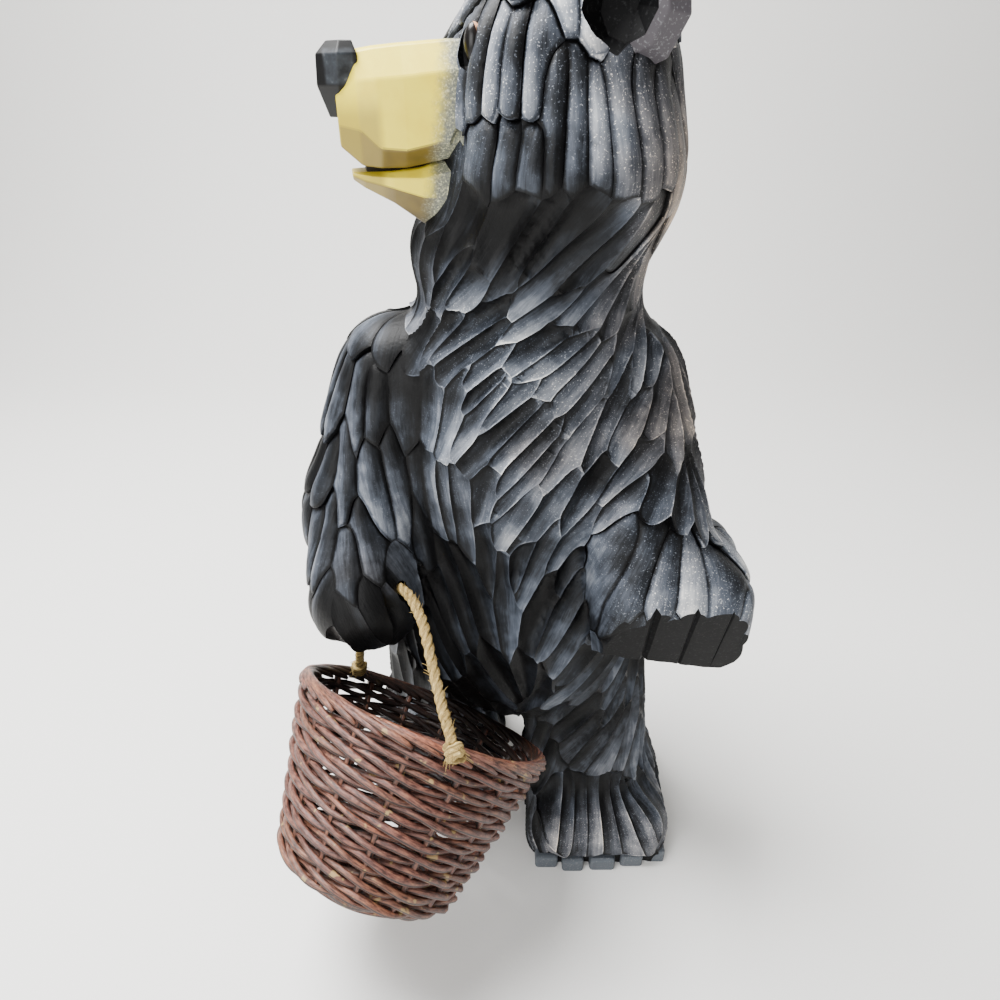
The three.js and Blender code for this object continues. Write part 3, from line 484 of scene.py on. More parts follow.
def zone_values(p):
    """Brushed paint, its warmth, gouge size and tiering at each point."""
    total = np.zeros((len(p), 4))
    weight = np.zeros((len(p), 1))
    for place, brush, warm, size, tiers, reach in FUR_ZONES:
        away = length_of(p - np.array(place, float))[:, None] / reach
        share = np.exp(-away * away) + FAR_ZONE / (1 + away)
        total += share * np.array([brush, warm, size, tiers])
        weight += share
    return (total / weight).T


def scatter(n):
    """An even spread of values from 0 to 1, always the same for the same n."""
    s = np.sin(n * 127.1 + 311.7) * 43758.5453
    return s - np.floor(s)


def vary(n, least, spread):
    """A value that differs from one piece to the next."""
    return least + spread * scatter(n)


class Gouges:
    """The gouges of the fur: where each is, which way it runs, its size and how deep it is."""

    def __init__(self, settings, points, normals):
        self.count = 0
        self.centre = np.zeros((MOST_GOUGES, 3))
        self.frame = np.zeros((MOST_GOUGES, 3, 3))
        self.size = np.zeros((MOST_GOUGES, 2))
        self.blunt = np.ones(MOST_GOUGES)
        for low, high, count, length, blunt in FUR_ROWS:
            low, high = np.array(low, float), np.array(high, float)
            width = length_of((high - low)[None])[0] / (count - 1)
            row = np.linspace(low, high, count)
            self.lay(row, np.full(count, length), np.full(count, width))
            self.blunt[self.count - count:self.count] = blunt
        _, _, scale, tiers = zone_values(points)
        n = np.arange(len(points))
        length = settings.gouge_length / MM * scale * vary(n + 1, 0.85, 0.3)
        width = settings.gouge_width / MM * (WIDTH_KEPT + (1 - WIDTH_KEPT) * scale) * vary(n + 2, 0.9, 0.3)
        turn = points[:, 2] / (TIER_SHARE * settings.gouge_length / MM) + 0.18 * scatter(n)
        away = np.abs(np.fmod(turn, 1) - 0.5)
        order = np.argsort(tiers * away + (1 - tiers) * 0.5 * scatter(n + 7), kind="stable")
        along = fur_direction(points, normals)
        across = np.cross(along, normals)
        for i in order:
            c = self.count
            q = points[i] - self.centre[:c]
            near = self.frame[:c, 2] @ normals[i] >= SAME_SIDE
            long = (self.size[:c, 0] + length[i] / HALF_SPACING / 2) / 2
            wide = (self.size[:c, 1] + width[i] / HALF_SPACING / 2) / 2
            v = np.einsum("ij,ij->i", q, self.frame[:c, 0]) / long
            u = np.einsum("ij,ij->i", q, self.frame[:c, 1]) / wide
            if np.any(near & (v * v + u * u <= GOUGE_SPACING)):
                continue
            self.blunt[c] = tiers[i]
            self.add(points[i], along[i], across[i], normals[i], length[i], width[i])
        ids = np.arange(self.count)
        self.long, self.wide = self.size[:self.count].T
        hollow = np.maximum(1 - HOLLOW_LOSS * self.blunt[:self.count], MOST_ROUND)
        self.cup = settings.gouge_depth / MM * hollow * vary(ids + 3, 0.8, 0.4)
        tier = settings.tier_rise / MM * (TIER_LEAST + TIER_GROWTH * self.blunt[:self.count])
        self.tier = tier * vary(ids + 5, 0.8, 0.4)
        self.level = settings.gouge_jitter / MM * (2 * scatter(ids + 11) - 1)
        self.tone = scatter(ids + 17)

    def add(self, centre, along, across, normal, length, width):
        self.centre[self.count] = centre
        self.frame[self.count] = along, across, normal
        self.size[self.count] = length / HALF_SPACING / 2, width / HALF_SPACING / 2
        self.count += 1

    def lay(self, places, lengths, widths):
        places = on_form(places)
        normals = normals_of(places)
        along = fur_direction(places, normals)
        for i in range(len(places)):
            across = np.cross(along[i], normals[i])
            self.add(places[i], along[i], across, normals[i], lengths[i], widths[i])

    def local(self, p, label):
        q = p - self.centre[label]
        frame = self.frame[label]
        v = np.einsum("ij,ij->i", q, frame[:, 0]) / self.long[label]
        u = np.einsum("ij,ij->i", q, frame[:, 1]) / self.wide[label]
        n = np.einsum("ij,ij->i", q, frame[:, 2]) / self.wide[label]
        return u, v, n

    def distance(self, p, label):
        u, v, n = self.local(p, label)
        blunt = self.blunt[label]
        ends = v * v * (1 + blunt * (END_SQUARENESS * v * v - 1))
        return ends + u * u * np.maximum(WIDEST_END, 1 + END_ROUNDING * blunt * v) + n * n * HEIGHT_WEIGHT

    def claim(self, p, normals):
        """The gouge that each point belongs to, and its distances from that gouge and the next."""
        best = np.full(len(p), np.inf)
        second = np.full(len(p), np.inf)
        label = np.zeros(len(p), int)
        for g in range(self.count):
            reach = CLAIM_REACH * self.long[g]
            near = np.nonzero(np.all(np.abs(p - self.centre[g]) <= reach, axis=1))[0]
            facing = normals[near] @ self.frame[g, 2]
            turned = np.maximum(0, TURNED_AWAY - facing)
            d = self.distance(p[near], np.full(len(near), g)) + TURNED_COST * turned
            less = d < best[near]
            second[near] = np.where(less, best[near], np.minimum(second[near], d))
            best[near[less]] = d[less]
            label[near[less]] = g
        return label, best, second

    def height(self, p, label, side):
        """Height over the form. side is 0 in the middle of a gouge and 1 all round its border."""
        _, v, _ = self.local(p, label)
        run = np.clip(v / HALF_SPACING, -RUN_LIMIT, RUN_LIMIT)
        return self.cup[label] * (side - LEVEL_PLACE) + self.tier[label] * run + self.level[label]


def twin_edges(triangles):
    """Numbers of the two half edges on each side of every edge of a closed mesh."""
    start = triangles.ravel()
    end = np.roll(triangles, -1, axis=1).ravel()
    key = edge_key(start, end, triangles.max() + 1)
    order = np.argsort(key, kind="stable")
    pairs = key[order].reshape(-1, 2)
    if np.any(pairs[:, 0] != pairs[:, 1]) or np.any(pairs[1:, 0] == pairs[:-1, 1]):
        raise RuntimeError("An edge of the skin hasn't two sides: change the skin step a little")
    return order[0::2], order[1::2]


def groups_of(count, a, b):
    """The lowest member of the group that each of the things is in, where a[i] and b[i] belong together."""
    group = np.arange(count)
    while True:
        low = np.minimum(group[a], group[b])
        before = group.copy()
        np.minimum.at(group, a, low)
        np.minimum.at(group, b, low)
        group = group[group]
        if np.array_equal(before, group):
            return group


def join_strays(label, a, b):
    """Keeps only the largest patch of each gouge. Smaller patches go to the neighbour that they touch."""
    same = label[a] == label[b]
    patch = groups_of(len(label), a[same], b[same])
    size = np.bincount(patch, minlength=len(label))
    roots = np.nonzero(size)[0]
    roots = roots[np.lexsort((size[roots], label[roots]))]
    last = np.append(label[roots][1:] != label[roots][:-1], True)
    kept = np.zeros(len(label), bool)
    kept[roots[last]] = True
    waiting = ~kept[patch]
    label = label.copy()
    while waiting.any():
        for own, other in ((a, b), (b, a)):
            take = waiting[own] & ~waiting[other]
            label[own[take]] = label[other[take]]
            waiting[own[take]] = False
    return label


def edge_key(a, b, size):
    return np.minimum(a, b) * size + np.maximum(a, b)


def first_of_each(values):
    """Marks the first place of each value."""
    return np.isin(np.arange(len(values)), np.unique(values, return_index=True)[1])


def turn_edges(triangles, label):
    """Turns the inner edge of each triangle that has two sides on a border, so that none lies along it."""
    one, two = twin_edges(triangles)
    twin = np.empty(triangles.size, int)
    twin[one], twin[two] = two, one
    rim = (label[twin // 3] != np.repeat(label, 3)).reshape(-1, 3)
    thin = np.nonzero(rim.sum(axis=1) == 2)[0]
    half = 3 * thin + np.argmin(rim[thin], axis=1)
    beyond = twin[half] // 3
    start, end = triangles.ravel(), np.roll(triangles, -1, axis=1).ravel()
    p, q = start[half], end[half]
    b = triangles[thin].sum(axis=1) - p - q
    d = triangles[beyond].sum(axis=1) - p - q
    size = triangles.max() + 1
    key = edge_key(b, d, size)
    fit = ~rim[beyond].any(axis=1) & ~np.isin(key, edge_key(start, end, size))
    fit &= first_of_each(beyond) & first_of_each(key)
    turned = triangles.copy()
    turned[thin[fit]] = np.stack([b, p, d], axis=1)[fit]
    turned[beyond[fit]] = np.stack([b, d, q], axis=1)[fit]
    return turned


def settle_borders(points, normals, gouges, vertex, low, high, step):
    """Moves the points between two gouges onto the line where both are equally far."""
    p = points[vertex]
    n = normals[vertex]
    reach = 0.2
    for _ in range(3):
        gap = gouges.distance(p, low) - gouges.distance(p, high)
        slope = np.stack([
            gouges.distance(p + reach * axis, low) - gouges.distance(p + reach * axis, high) - gap
            for axis in np.eye(3)], axis=1) / reach
        slope -= n * np.einsum("ij,ij->i", slope, n)[:, None]
        move = -gap[:, None] * slope / np.maximum(np.einsum("ij,ij->i", slope, slope), 1e-9)[:, None]
        p = p + move * np.minimum(1, 0.4 * step / np.maximum(length_of(move), 1e-9))[:, None]
    away = p - points[vertex]
    away *= np.minimum(1, BORDER_MOVE * step / np.maximum(length_of(away), 1e-9))[:, None]
    points[vertex] += away


def even_borders(points, near, far):
    """Evens out the lines of border points between the places where three gouges meet."""
    inline = np.bincount(np.concatenate([near, far]), minlength=len(points)) == 2
    for _ in range(BORDER_PASSES):
        total = np.zeros_like(points)
        np.add.at(total, near, points[far])
        np.add.at(total, far, points[near])
        points[inline] = points[inline] / 2 + total[inline] / 4


def even_inside(points, inner, start, end):
    """Moves the points inside the gouges halfway to the middle of their neighbours."""
    total = np.zeros_like(points)
    weight = np.zeros(len(points))
    np.add.at(total, start, points[end])
    np.add.at(weight, start, 1)
    points[inner] = (points[inner] + (total / weight[:, None])[inner]) / 2


def next_corner(half):
    """The corner after this one in the same triangle."""
    return half - half % 3 + (half + 1) % 3


def part_corners(count, one, two, apart):
    """Gives each fan of triangles round a point its own copy of the point where borders marked as apart lie
    between the fans. Returns the copy at each corner, a corner for each copy, the copy across the border and
    the triangles that close the steps between the copies."""
    a = np.concatenate([one[~apart], next_corner(one[~apart])])
    b = np.concatenate([next_corner(two[~apart]), two[~apart]])
    roots, copy = np.unique(groups_of(count, a, b), return_inverse=True)
    v1, w1 = copy[one[apart]], copy[next_corner(one[apart])]
    w2, v2 = copy[two[apart]], copy[next_corner(two[apart])]
    walls = [np.stack([w1, v1, v2], axis=1), np.stack([w1, v2, w2], axis=1)]
    after = np.arange(len(roots))
    after[v2] = v1
    after[w1] = w2
    fans = []
    for first in np.nonzero(after[after] != np.arange(len(roots)))[0].tolist():
        ring = [first]
        while after[ring[-1]] != first:
            ring.append(int(after[ring[-1]]))
        if first == min(ring):
            fans += [(first, ring[i], ring[i + 1]) for i in range(1, len(ring) - 1)]
    return copy, roots, after, np.concatenate([*walls, np.array(fans, int)])


def distance_to_border(points, start, end, on_border):
    """How far each point is from a border. Only the points next to one count as nearer than far."""
    distance = np.full(len(points), FAR)
    beside = on_border[end]
    np.minimum.at(distance, start[beside], length_of(points[start[beside]] - points[end[beside]]))
    return np.where(on_border, 0, distance)


def carve(settings):
    """The carved skin: its points, its triangles and the values for the paint at each corner of them."""
    step = settings.skin_step / MM
    points, triangles = skin_of(step)
    points = on_form(points)
    normals = normals_of(points)
    tried = scatter(np.arange(len(points)) + 0.5) < TRIED_SHARE
    gouges = Gouges(settings, points[tried], normals[tried])
    one, two = twin_edges(triangles)
    label, _, _ = gouges.claim(points[triangles].mean(axis=1), normals[triangles].mean(axis=1))
    label = join_strays(label, one // 3, two // 3)
    triangles = turn_edges(triangles, label)
    one, two = twin_edges(triangles)
    start, end = triangles.ravel(), np.roll(triangles, -1, axis=1).ravel()
    border = label[one // 3] != label[two // 3]
    near, far = start[one[border]], end[one[border]]

    # Points on a border between exactly two gouges move onto that border, and the rest evens out
    pair = np.sort(np.stack([label[one[border] // 3], label[two[border] // 3]], axis=1), axis=1)
    code = pair[:, 0] * gouges.count + pair[:, 1]
    lowest = np.full(len(points), gouges.count ** 2)
    highest = np.full(len(points), -1)
    for ends in (near, far):
        np.minimum.at(lowest, ends, code)
        np.maximum.at(highest, ends, code)
    plain = np.nonzero(lowest == highest)[0]
    settle_borders(points, normals, gouges, plain, *divmod(lowest[plain], gouges.count), step)
    even_borders(points, near, far)
    on_border = highest >= 0
    even_inside(points, np.nonzero(~on_border)[0], start, end)
    points = on_form(points)
    normals = normals_of(points)

    # Height of each corner of the triangles over the form
    owner = np.repeat(label, 3)
    position = points[start]
    nearest, best, second = gouges.claim(points, normals)
    other = np.where(nearest[start] == owner, second[start], best[start])
    side = np.minimum(gouges.distance(position, owner) / other, 1) ** SIDE_POWER
    rise = gouges.height(position, owner, np.where(on_border[start], 1, side))

    # Two hollow gouges share the points of the ridge between them, and any other border is a small step
    hollow = gouges.cup > 0
    apart = border & ~(hollow[label[one // 3]] & hollow[label[two // 3]])
    copy, roots, after, walls = part_corners(triangles.size, one, two, apart)
    height = np.bincount(copy, rise) / np.bincount(copy)

    u, v, _ = gouges.local(position, owner)
    brush, warm, _, _ = zone_values(position)
    values = {
        "u": u * gouges.wide[owner],
        "v": v * gouges.long[owner],
        "run": v / HALF_SPACING,
        "side": u / HALF_SPACING,
        "step": (height - height[after])[copy],
        "edge": distance_to_border(points, start, end, on_border)[start],
        "tone": gouges.tone[owner],
        "brush": brush,
        "warm": warm,
        "round": ~hollow[owner],
    }
    at_walls = roots[walls.ravel()]
    return {
        "points": points[start[roots]] + normals[start[roots]] * height[:, None],
        "faces": np.concatenate([copy.reshape(-1, 3), walls]),
        "values": {name: np.concatenate([value, value[at_walls]]) for name, value in values.items()},
    }


def at_figure(p):
    """Figure millimetres to metres in the row frame."""
    return (np.asarray(p, float) + FIGURE_ORIGIN) * MM


def linked(name, mesh, material):
    """The object of a finished mesh, in one material."""
    obj = bpy.data.objects.new(name, mesh)
    bpy.context.collection.objects.link(obj)
    mesh.materials.append(material)
    return obj


def mesh_object(name, points, faces, material):
    mesh = bpy.data.meshes.new(name)
    mesh.from_pydata(np.asarray(points).tolist(), [], list(faces))
    mesh.update()
    return linked(name, mesh, material)


def triangle_object(name, points, faces, material):
    """Fast path for a mesh of triangles only."""
    mesh = bpy.data.meshes.new(name)
    count = len(faces)
    mesh.vertices.add(len(points))
    mesh.vertices.foreach_set("co", np.asarray(points, np.float32).ravel())
    mesh.loops.add(3 * count)
    mesh.loops.foreach_set("vertex_index", np.asarray(faces, np.int32).ravel())
    mesh.polygons.add(count)
    mesh.polygons.foreach_set("loop_start", np.arange(0, 3 * count, 3, dtype=np.int32))
    mesh.update(calc_edges=True)
    return linked(name, mesh, material)


def set_attribute(obj, name, values, domain="POINT"):
    attribute = obj.data.attributes.new(name, "FLOAT", domain)
    attribute.data.foreach_set("value", np.asarray(values, np.float32))


def apply_modifier(obj, modifier):
    with bpy.context.temp_override(object=obj, active_object=obj, selected_objects=[obj]):
        bpy.ops.object.modifier_apply(modifier=modifier.name)


def sharpen_ridges(mesh, apart, angle):
    """Keeps an edge sharp only between points on the borders of gouges or other forms. The faces marked as
    apart stay smooth among themselves."""
    corners = np.zeros(len(mesh.loops), np.int32)
    mesh.loops.foreach_get("vertex_index", corners)
    distance = np.zeros(len(corners), np.float32)
    mesh.attributes["fur_edge"].data.foreach_get("value", distance)
    sizes = np.zeros(len(mesh.polygons), np.int32)
    mesh.polygons.foreach_get("loop_total", sizes)
    distance[np.repeat(apart, sizes)] = 1
    nearest = np.ones(len(mesh.vertices))
    np.minimum.at(nearest, corners, distance)
    ends = np.zeros(2 * len(mesh.edges), np.int32)
    mesh.edges.foreach_get("vertices", ends)
    mesh.set_sharp_from_angle(angle=angle)
    sharp = np.zeros(len(mesh.edges), bool)
    mesh.attributes["sharp_edge"].data.foreach_get("value", sharp)
    sharp &= (nearest[ends.reshape(-1, 2)] < ON_BORDER).all(axis=1)
    mesh.attributes["sharp_edge"].data.foreach_set("value", sharp)


def boolean(obj, other, operation):
    modifier = obj.modifiers.new("cut", "BOOLEAN")
    modifier.object = other
    modifier.operation = operation
    modifier.solver = "MANIFOLD"
    modifier.material_mode = "TRANSFER"
    apply_modifier(obj, modifier)
    bpy.data.objects.remove(other, do_unlink=True)


# Sections of muzzle, jaw and mouth: distance forward, half width, top and bottom. Those of the muzzle end
# with the height of its bevel at the lip.
UPPER_LIP = -11.0
LOWER_LIP = UPPER_LIP - 2.4
MUZZLE_SECTIONS = [
    (8, 20, 18, UPPER_LIP - 5, 5),
    (33, 18.5, 16.5, UPPER_LIP, 4.6),
    (46, 16.5, 15.5, UPPER_LIP - 2.5, 4.4),
    (53, 15, 14.8, UPPER_LIP - 2.6, 5),
    (58, 13, 14, UPPER_LIP - 2, 9),
    (63.5, 8, 7, UPPER_LIP + 2.5, 5.5),
]
JAW_SECTIONS = [
    (6, 17, UPPER_LIP + 2, -42),
    (33, 15.8, UPPER_LIP + 0.4, -32),
    (42, 14.5, UPPER_LIP - 2.6, -28.5),
    (50, 12.5, UPPER_LIP - 3.6, -23),
    (58, 9, LOWER_LIP - 1.5, -19),
    (61, 6.5, LOWER_LIP - 1.5, -17),
]
MOUTH_SECTIONS = [
    (10, 13, UPPER_LIP + 5, LOWER_LIP - 7.6),
    (57, 7.5, UPPER_LIP + 5, LOWER_LIP - 4.6),
]
# Shallow scoops behind the nose, and a crease that runs up from each corner of the mouth
MUZZLE_SCOOPS = [(54.5, 17.5, 12, (1.8, 3.6, 4.5)), (50.5, 18.5, 13, (1.7, 3.6, 4))]
MOUTH_CORNER = (34.5, 18.6, -8)
CREASE_SIZES = (4.5, 1.2, 1.6)
# Sections of the nose: height, back, front and half width
NOSE_SECTIONS = [
    (-1.5, 60, 65.5, 3.5),
    (6, 57, 68, 10),
    (13, 57, 67.5, 11.5),
    (16, 58, 64.5, 9.5),
]
# Ears and eyes: place forward, to the left and up from the middle of the head, and half sizes
EAR_PLACE = (-12, 27, 23)
EAR_HALF_SIZES = (14, 15, 9)
EAR_CUP_RADII = (10, 11)
EAR_CUP_START = 11.5
EAR_CUP_DEPTH = 6
EYE_PLACE = (28, 18.8, 15)
EYE_HALF_SIZES = (2.5, 2.7, 4.7)
SOCKET_HALF_SIZES = (3.2, 3.6, 6.2)
SOCKET_FORWARD = 1.7
# Fingers: where the grooves between them start, the way they run, and their half length, half width and
# depth, as for the crease
FINGER_PLACES = (48, 62, 74.5, 82)
FINGER_LINE = (0.02, 0.31, -1)
FINGER_GROOVE_SIZES = (30, 1.1, 1.0)
# Claws: place across the foot outwards, half width, and distance in front of the fur
CLAWS = [(-24.1, 5.2, 0.3), (-12, 4.9, 2.1), (1.7, 5.8, 1.6), (15.6, 5.2, -0.2), (26.9, 4.6, -2.4)]
CLAW_HEIGHT = 7.4
CLAW_LENGTH = 16.0
CLAW_RECESS = 2.2
CLAW_REACH = 15.0
CLAW_HEADROOM = 1.4
# How far from its poles a faceted ball is cut flat, as a share of the half turn from one to the other
BALL_CAP = 0.04
# Bevels of the forms, and the angles from which an edge is bevelled or stays sharp
MUZZLE_BEVEL = 0.5
NOSE_BEVEL = 0.3
EAR_BEVEL = 0.4
CLAW_BEVEL = 1.3
BEVEL_ANGLE = math.radians(8)
RIDGE_ANGLE = math.radians(25)
# Blocks that cut the paw's end and the soles flat
PAW_BLOCK = 80
SOLE_BLOCK = 400


def mirrored_ring(forward, profile):
    """Ring of a section across the head, from its profile on the left side: half width and height."""
    left = [head_point(forward, w, up) for w, up in profile]
    right = [head_point(forward, -w, up) for w, up in reversed(profile)]
    return left + right


def muzzle_ring(forward, half, top, bottom, bevel):
    height = top - bottom
    return mirrored_ring(forward, [
        (half * 0.3, top + 0.2),
        (half * 0.72, top - 0.4),
        (half, top - 0.26 * height),
        (half * 1.01, bottom + 0.5 * height),
        (half, bottom + bevel),
        (half * 0.74, bottom),
    ])


def jaw_ring(forward, half, top, bottom):
    height = top - bottom
    return mirrored_ring(forward, [
        (half * 0.7, top),
        (half, top - 0.16 * height),
        (half, top - 0.5 * height),
        (half * 0.66, bottom),
    ])


def nose_ring(up, back, front, half):
    middle = (back + front) / 2
    outline = [(back, half), (back, -half), (middle, -half),
               (front, -half / 2), (front, half / 2), (middle, half)]
    return [head_point(forward, left, up) for forward, left in outline]


def loft(rings):
    """Points and faces of a closed loft, turned so that its faces point outwards."""
    size = len(rings[0])
    points = np.array([point for ring in rings for point in ring])
    faces = []
    for r in range(len(rings) - 1):
        for i in range(size):
            a, b = r * size + i, r * size + (i + 1) % size
            faces.append((a, b, b + size, a + size))
    faces.append(tuple(range(size))[::-1])
    faces.append(tuple(range(len(points) - size, len(points))))
    volume = 0.0
    for face in faces:
        for i in range(1, len(face) - 1):
            volume += np.dot(points[face[0]], np.cross(points[face[i]], points[face[i + 1]]))
    return points, faces if volume > 0 else [face[::-1] for face in faces]


def faceted_ball(centre, directions, half_sizes, around, levels):
    """A ball of rings round its third direction, cut flat near both poles."""
    rings = []
    for level in range(levels + 1):
        polar = math.pi * (BALL_CAP + (1 - 2 * BALL_CAP) * level / levels)
        ring = []
        for i in range(around):
            angle = TURN * i / around
            shares = (math.sin(polar) * math.cos(angle), math.sin(polar) * math.sin(angle), math.cos(polar))
            ring.append(centre + sum(d * s * h for d, s, h in zip(directions, shares, half_sizes)))
        rings.append(ring)
    return loft(rings)


def groove_shape(point, along, outward, half_length, half_width, depth):
    """A V-shaped cutter whose bottom edge lies at a depth under a point."""
    side = unit(np.cross(along, outward)) * 2 * half_width
    run, down = unit(along), unit(outward) * depth
    rings = []
    for shift in (-half_length, half_length):
        base = np.array(point, float) + run * shift
        rings.append([base - down, base + down + side, base + down - side])
    return loft(rings)


def box_shape(low, high):
    corners = [(low[0], low[1]), (high[0], low[1]), (high[0], high[1]), (low[0], high[1])]
    return loft([[np.array((x, y, z), float) for x, y in corners] for z in (low[2], high[2])])


def block_beyond(point, facing, size):
    """A block that stands on a plane, on the side that the plane faces."""
    turn = Vector(facing).to_track_quat("Z", "Y").to_matrix()
    box = [(x, y, z) for z in (0, size) for x, y in ((-1, -1), (1, -1), (1, 1), (-1, 1))]
    ring = [np.array(turn @ Vector((x * size / 2, y * size / 2, z))) + point for x, y, z in box]
    return loft([ring[:4], ring[4:]])


def smooth_line(route, count):
    """Evenly spaced points on a smooth curve through the route."""
    route = np.asarray(route, float)
    ends = np.vstack([2 * route[0] - route[1], route, 2 * route[-1] - route[-2]])
    dense = []
    for i in range(1, len(ends) - 2):
        p0, p1, p2, p3 = ends[i - 1:i + 3]
        for t in np.linspace(0, 1, 12, endpoint=False):
            dense.append(0.5 * (2 * p1 + (p2 - p0) * t + (2 * p0 - 5 * p1 + 4 * p2 - p3) * t**2
                                + (3 * p1 - p0 - 3 * p2 + p3) * t**3))
    dense = np.array(dense + [ends[-2]])
    run = np.concatenate([[0], np.cumsum(length_of(np.diff(dense, axis=0)))])
    even = np.linspace(0, run[-1], count)
    return np.stack([np.interp(even, run, dense[:, i]) for i in range(3)], axis=1), run[-1]


def ahead_of(line, closed=False):
    """Which way a line runs at each of its points."""
    ahead = np.roll(line, -1, axis=0) - np.roll(line, 1, axis=0)
    if not closed:
        ahead[0], ahead[-1] = line[1] - line[0], line[-1] - line[-2]
    return ahead


def sides_of(line):
    """Two directions square to a line at each of its points, carried along without twist."""
    ahead = ahead_of(line)
    ahead /= length_of(ahead)[:, None]
    side = np.zeros_like(line)
    start = UP if abs(ahead[0][2]) < 0.9 else np.array([1.0, 0, 0])
    side[0] = unit(np.cross(ahead[0], start))
    for i in range(1, len(line)):
        side[i] = unit(side[i - 1] - ahead[i] * (side[i - 1] @ ahead[i]))
    return side, np.cross(ahead, side)


class Bundle:
    """Tubes gathered into one mesh, with values for the paint on their points."""

    def __init__(self):
        self.points, self.faces, self.size = [], [], 0
        self.values = {"tone": [], "run": [], "side": []}

    def tube(self, line, radius, reference, sides=7, closed=False, tone=0.5):
        """A tube along a line. radius and reference are one value or one for each point."""
        count = len(line)
        ahead = ahead_of(line, closed)
        side = np.cross(ahead, np.broadcast_to(reference, line.shape))
        side /= np.maximum(length_of(side), 1e-9)[:, None]
        up = np.cross(side, ahead)
        up /= np.maximum(length_of(up), 1e-9)[:, None]
        angle = TURN * np.arange(sides) / sides
        radius = np.broadcast_to(radius, (count,))[:, None, None]
        ring = side[:, None] * np.cos(angle)[None, :, None] + up[:, None] * np.sin(angle)[None, :, None]
        points = (line[:, None] + radius * ring).reshape(-1, 3)
        run = np.concatenate([[0], np.cumsum(length_of(np.diff(line, axis=0)))])
        faces = []
        for i in range(count if closed else count - 1):
            j = (i + 1) % count
            for k in range(sides):
                m = (k + 1) % sides
                faces.append((i * sides + k, j * sides + k, j * sides + m, i * sides + m))
        if not closed:
            faces.append(tuple(range(sides)))
            faces.append(tuple(range(len(points) - sides, len(points)))[::-1])
        self.points.append(points)
        self.faces += [tuple(i + self.size for i in face) for face in faces]
        self.size += len(points)
        self.values["tone"].append(np.full(len(points), tone))
        self.values["run"].append(np.repeat(run, sides))
        self.values["side"].append(np.tile(angle, count))

    def fibre(self, start, ahead, bend, length, seed):
        """A stray hair that leaves a rope or knot and curls over."""
        share = np.linspace(0, 1, 6)[:, None]
        curl = np.cross(ahead, bend) * (scatter(seed + 0.9) - 0.5)
        line = start + (ahead * share + (bend * 0.3 + curl) * share * share) * length
        self.tube(line, FIBRE_RADIUS - 0.06 * share[:, 0], np.cross(ahead, bend) + bend, sides=4, tone=0.9)

    def shape(self):
        return np.concatenate(self.points), self.faces

    def object(self, name, material):
        points, faces = self.shape()
        obj = mesh_object(name, at_figure(points), faces, material)
        for key, values in self.values.items():
            set_attribute(obj, "fibre_" + key, np.concatenate(values))
        obj.data.shade_smooth()
        return obj


def basket_point(below, radius, angle):
    """Points of the basket: distance below the rim along the axis, radius and angle round it."""
    columns = (np.asarray(v, float)[..., None] for v in (below, radius, angle))
    below, radius, angle = np.broadcast_arrays(*columns)
    return (RIM_CENTRE - BASKET_AXIS * below + LOW_SIDE * radius * np.cos(angle)
            + LEVEL_SIDE * radius * np.sin(angle))


def round_angles():
    """Angles once round the basket, ten from stake to stake."""
    return np.linspace(0, TURN, 10 * STAKE_COUNT, endpoint=False)


def wall_radius(below):
    return BASKET_RIM_RADIUS + (BASKET_BASE_RADIUS - BASKET_RIM_RADIUS) * below / BASKET_HEIGHT


class GreeterFur(bpy.types.PropertyGroup):
    gouge_length: bpy.props.FloatProperty(
        name="Gouge length", description="Usual length of one gouge of the fur",
        default=0.027, unit="LENGTH")
    gouge_width: bpy.props.FloatProperty(
        name="Gouge width", description="Usual width of one gouge of the fur",
        default=0.005, unit="LENGTH")
    gouge_depth: bpy.props.FloatProperty(
        name="Gouge depth", description="Depth of a gouge under the ridges beside it",
        default=0.0028, unit="LENGTH")
    tier_rise: bpy.props.FloatProperty(
        name="Tier rise", description="How far a gouge's lower end stands over its middle",
        default=0.0007, unit="LENGTH")
    gouge_jitter: bpy.props.FloatProperty(
        name="Level jitter", description="How much the levels of neighbouring gouges differ",
        default=0.00035, unit="LENGTH")
    skin_step: bpy.props.FloatProperty(
        name="Skin step", description="Cell size of the grid that the skin is drawn on",
        default=0.0015, unit="LENGTH")


class GreeterBasket(bpy.types.PropertyGroup):
    rod_radius: bpy.props.FloatProperty(
        name="Rod radius", description="Radius of the rods that are woven round the stakes",
        default=0.00122, unit="LENGTH")
    stake_radius: bpy.props.FloatProperty(
        name="Stake radius", description="Radius of the upright stakes",
        default=0.0015, unit="LENGTH")
    swing: bpy.props.FloatProperty(
        name="Swing", description="How far the rods swing in and out round the stakes",
        default=0.0016, unit="LENGTH")
    rows: bpy.props.IntProperty(
        name="Rows", description="Rows of three rods each in the wall", default=9)


class GreeterRope(bpy.types.PropertyGroup):
    diameter: bpy.props.FloatProperty(
        name="Diameter", description="Thickness of the rope", default=ROPE_DIAMETER * MM, unit="LENGTH")
    twist: bpy.props.FloatProperty(
        name="Twist", description="Length of one full turn of the strands", default=0.0095, unit="LENGTH")
    strands: bpy.props.IntProperty(name="Strands", description="Strands twisted into the rope", default=3)
    fibres: bpy.props.IntProperty(
        name="Stray fibres", description="Hairs that stand out from the rope", default=60)


def linear(text):
    """Colour of a node socket from a hex colour."""
    parts = [int(text[i:i + 2], 16) / 255 for i in (1, 3, 5)]
    return tuple(c / 12.92 if c <= 0.04045 else ((c + 0.055) / 1.055) ** 2.4 for c in parts) + (1.0,)


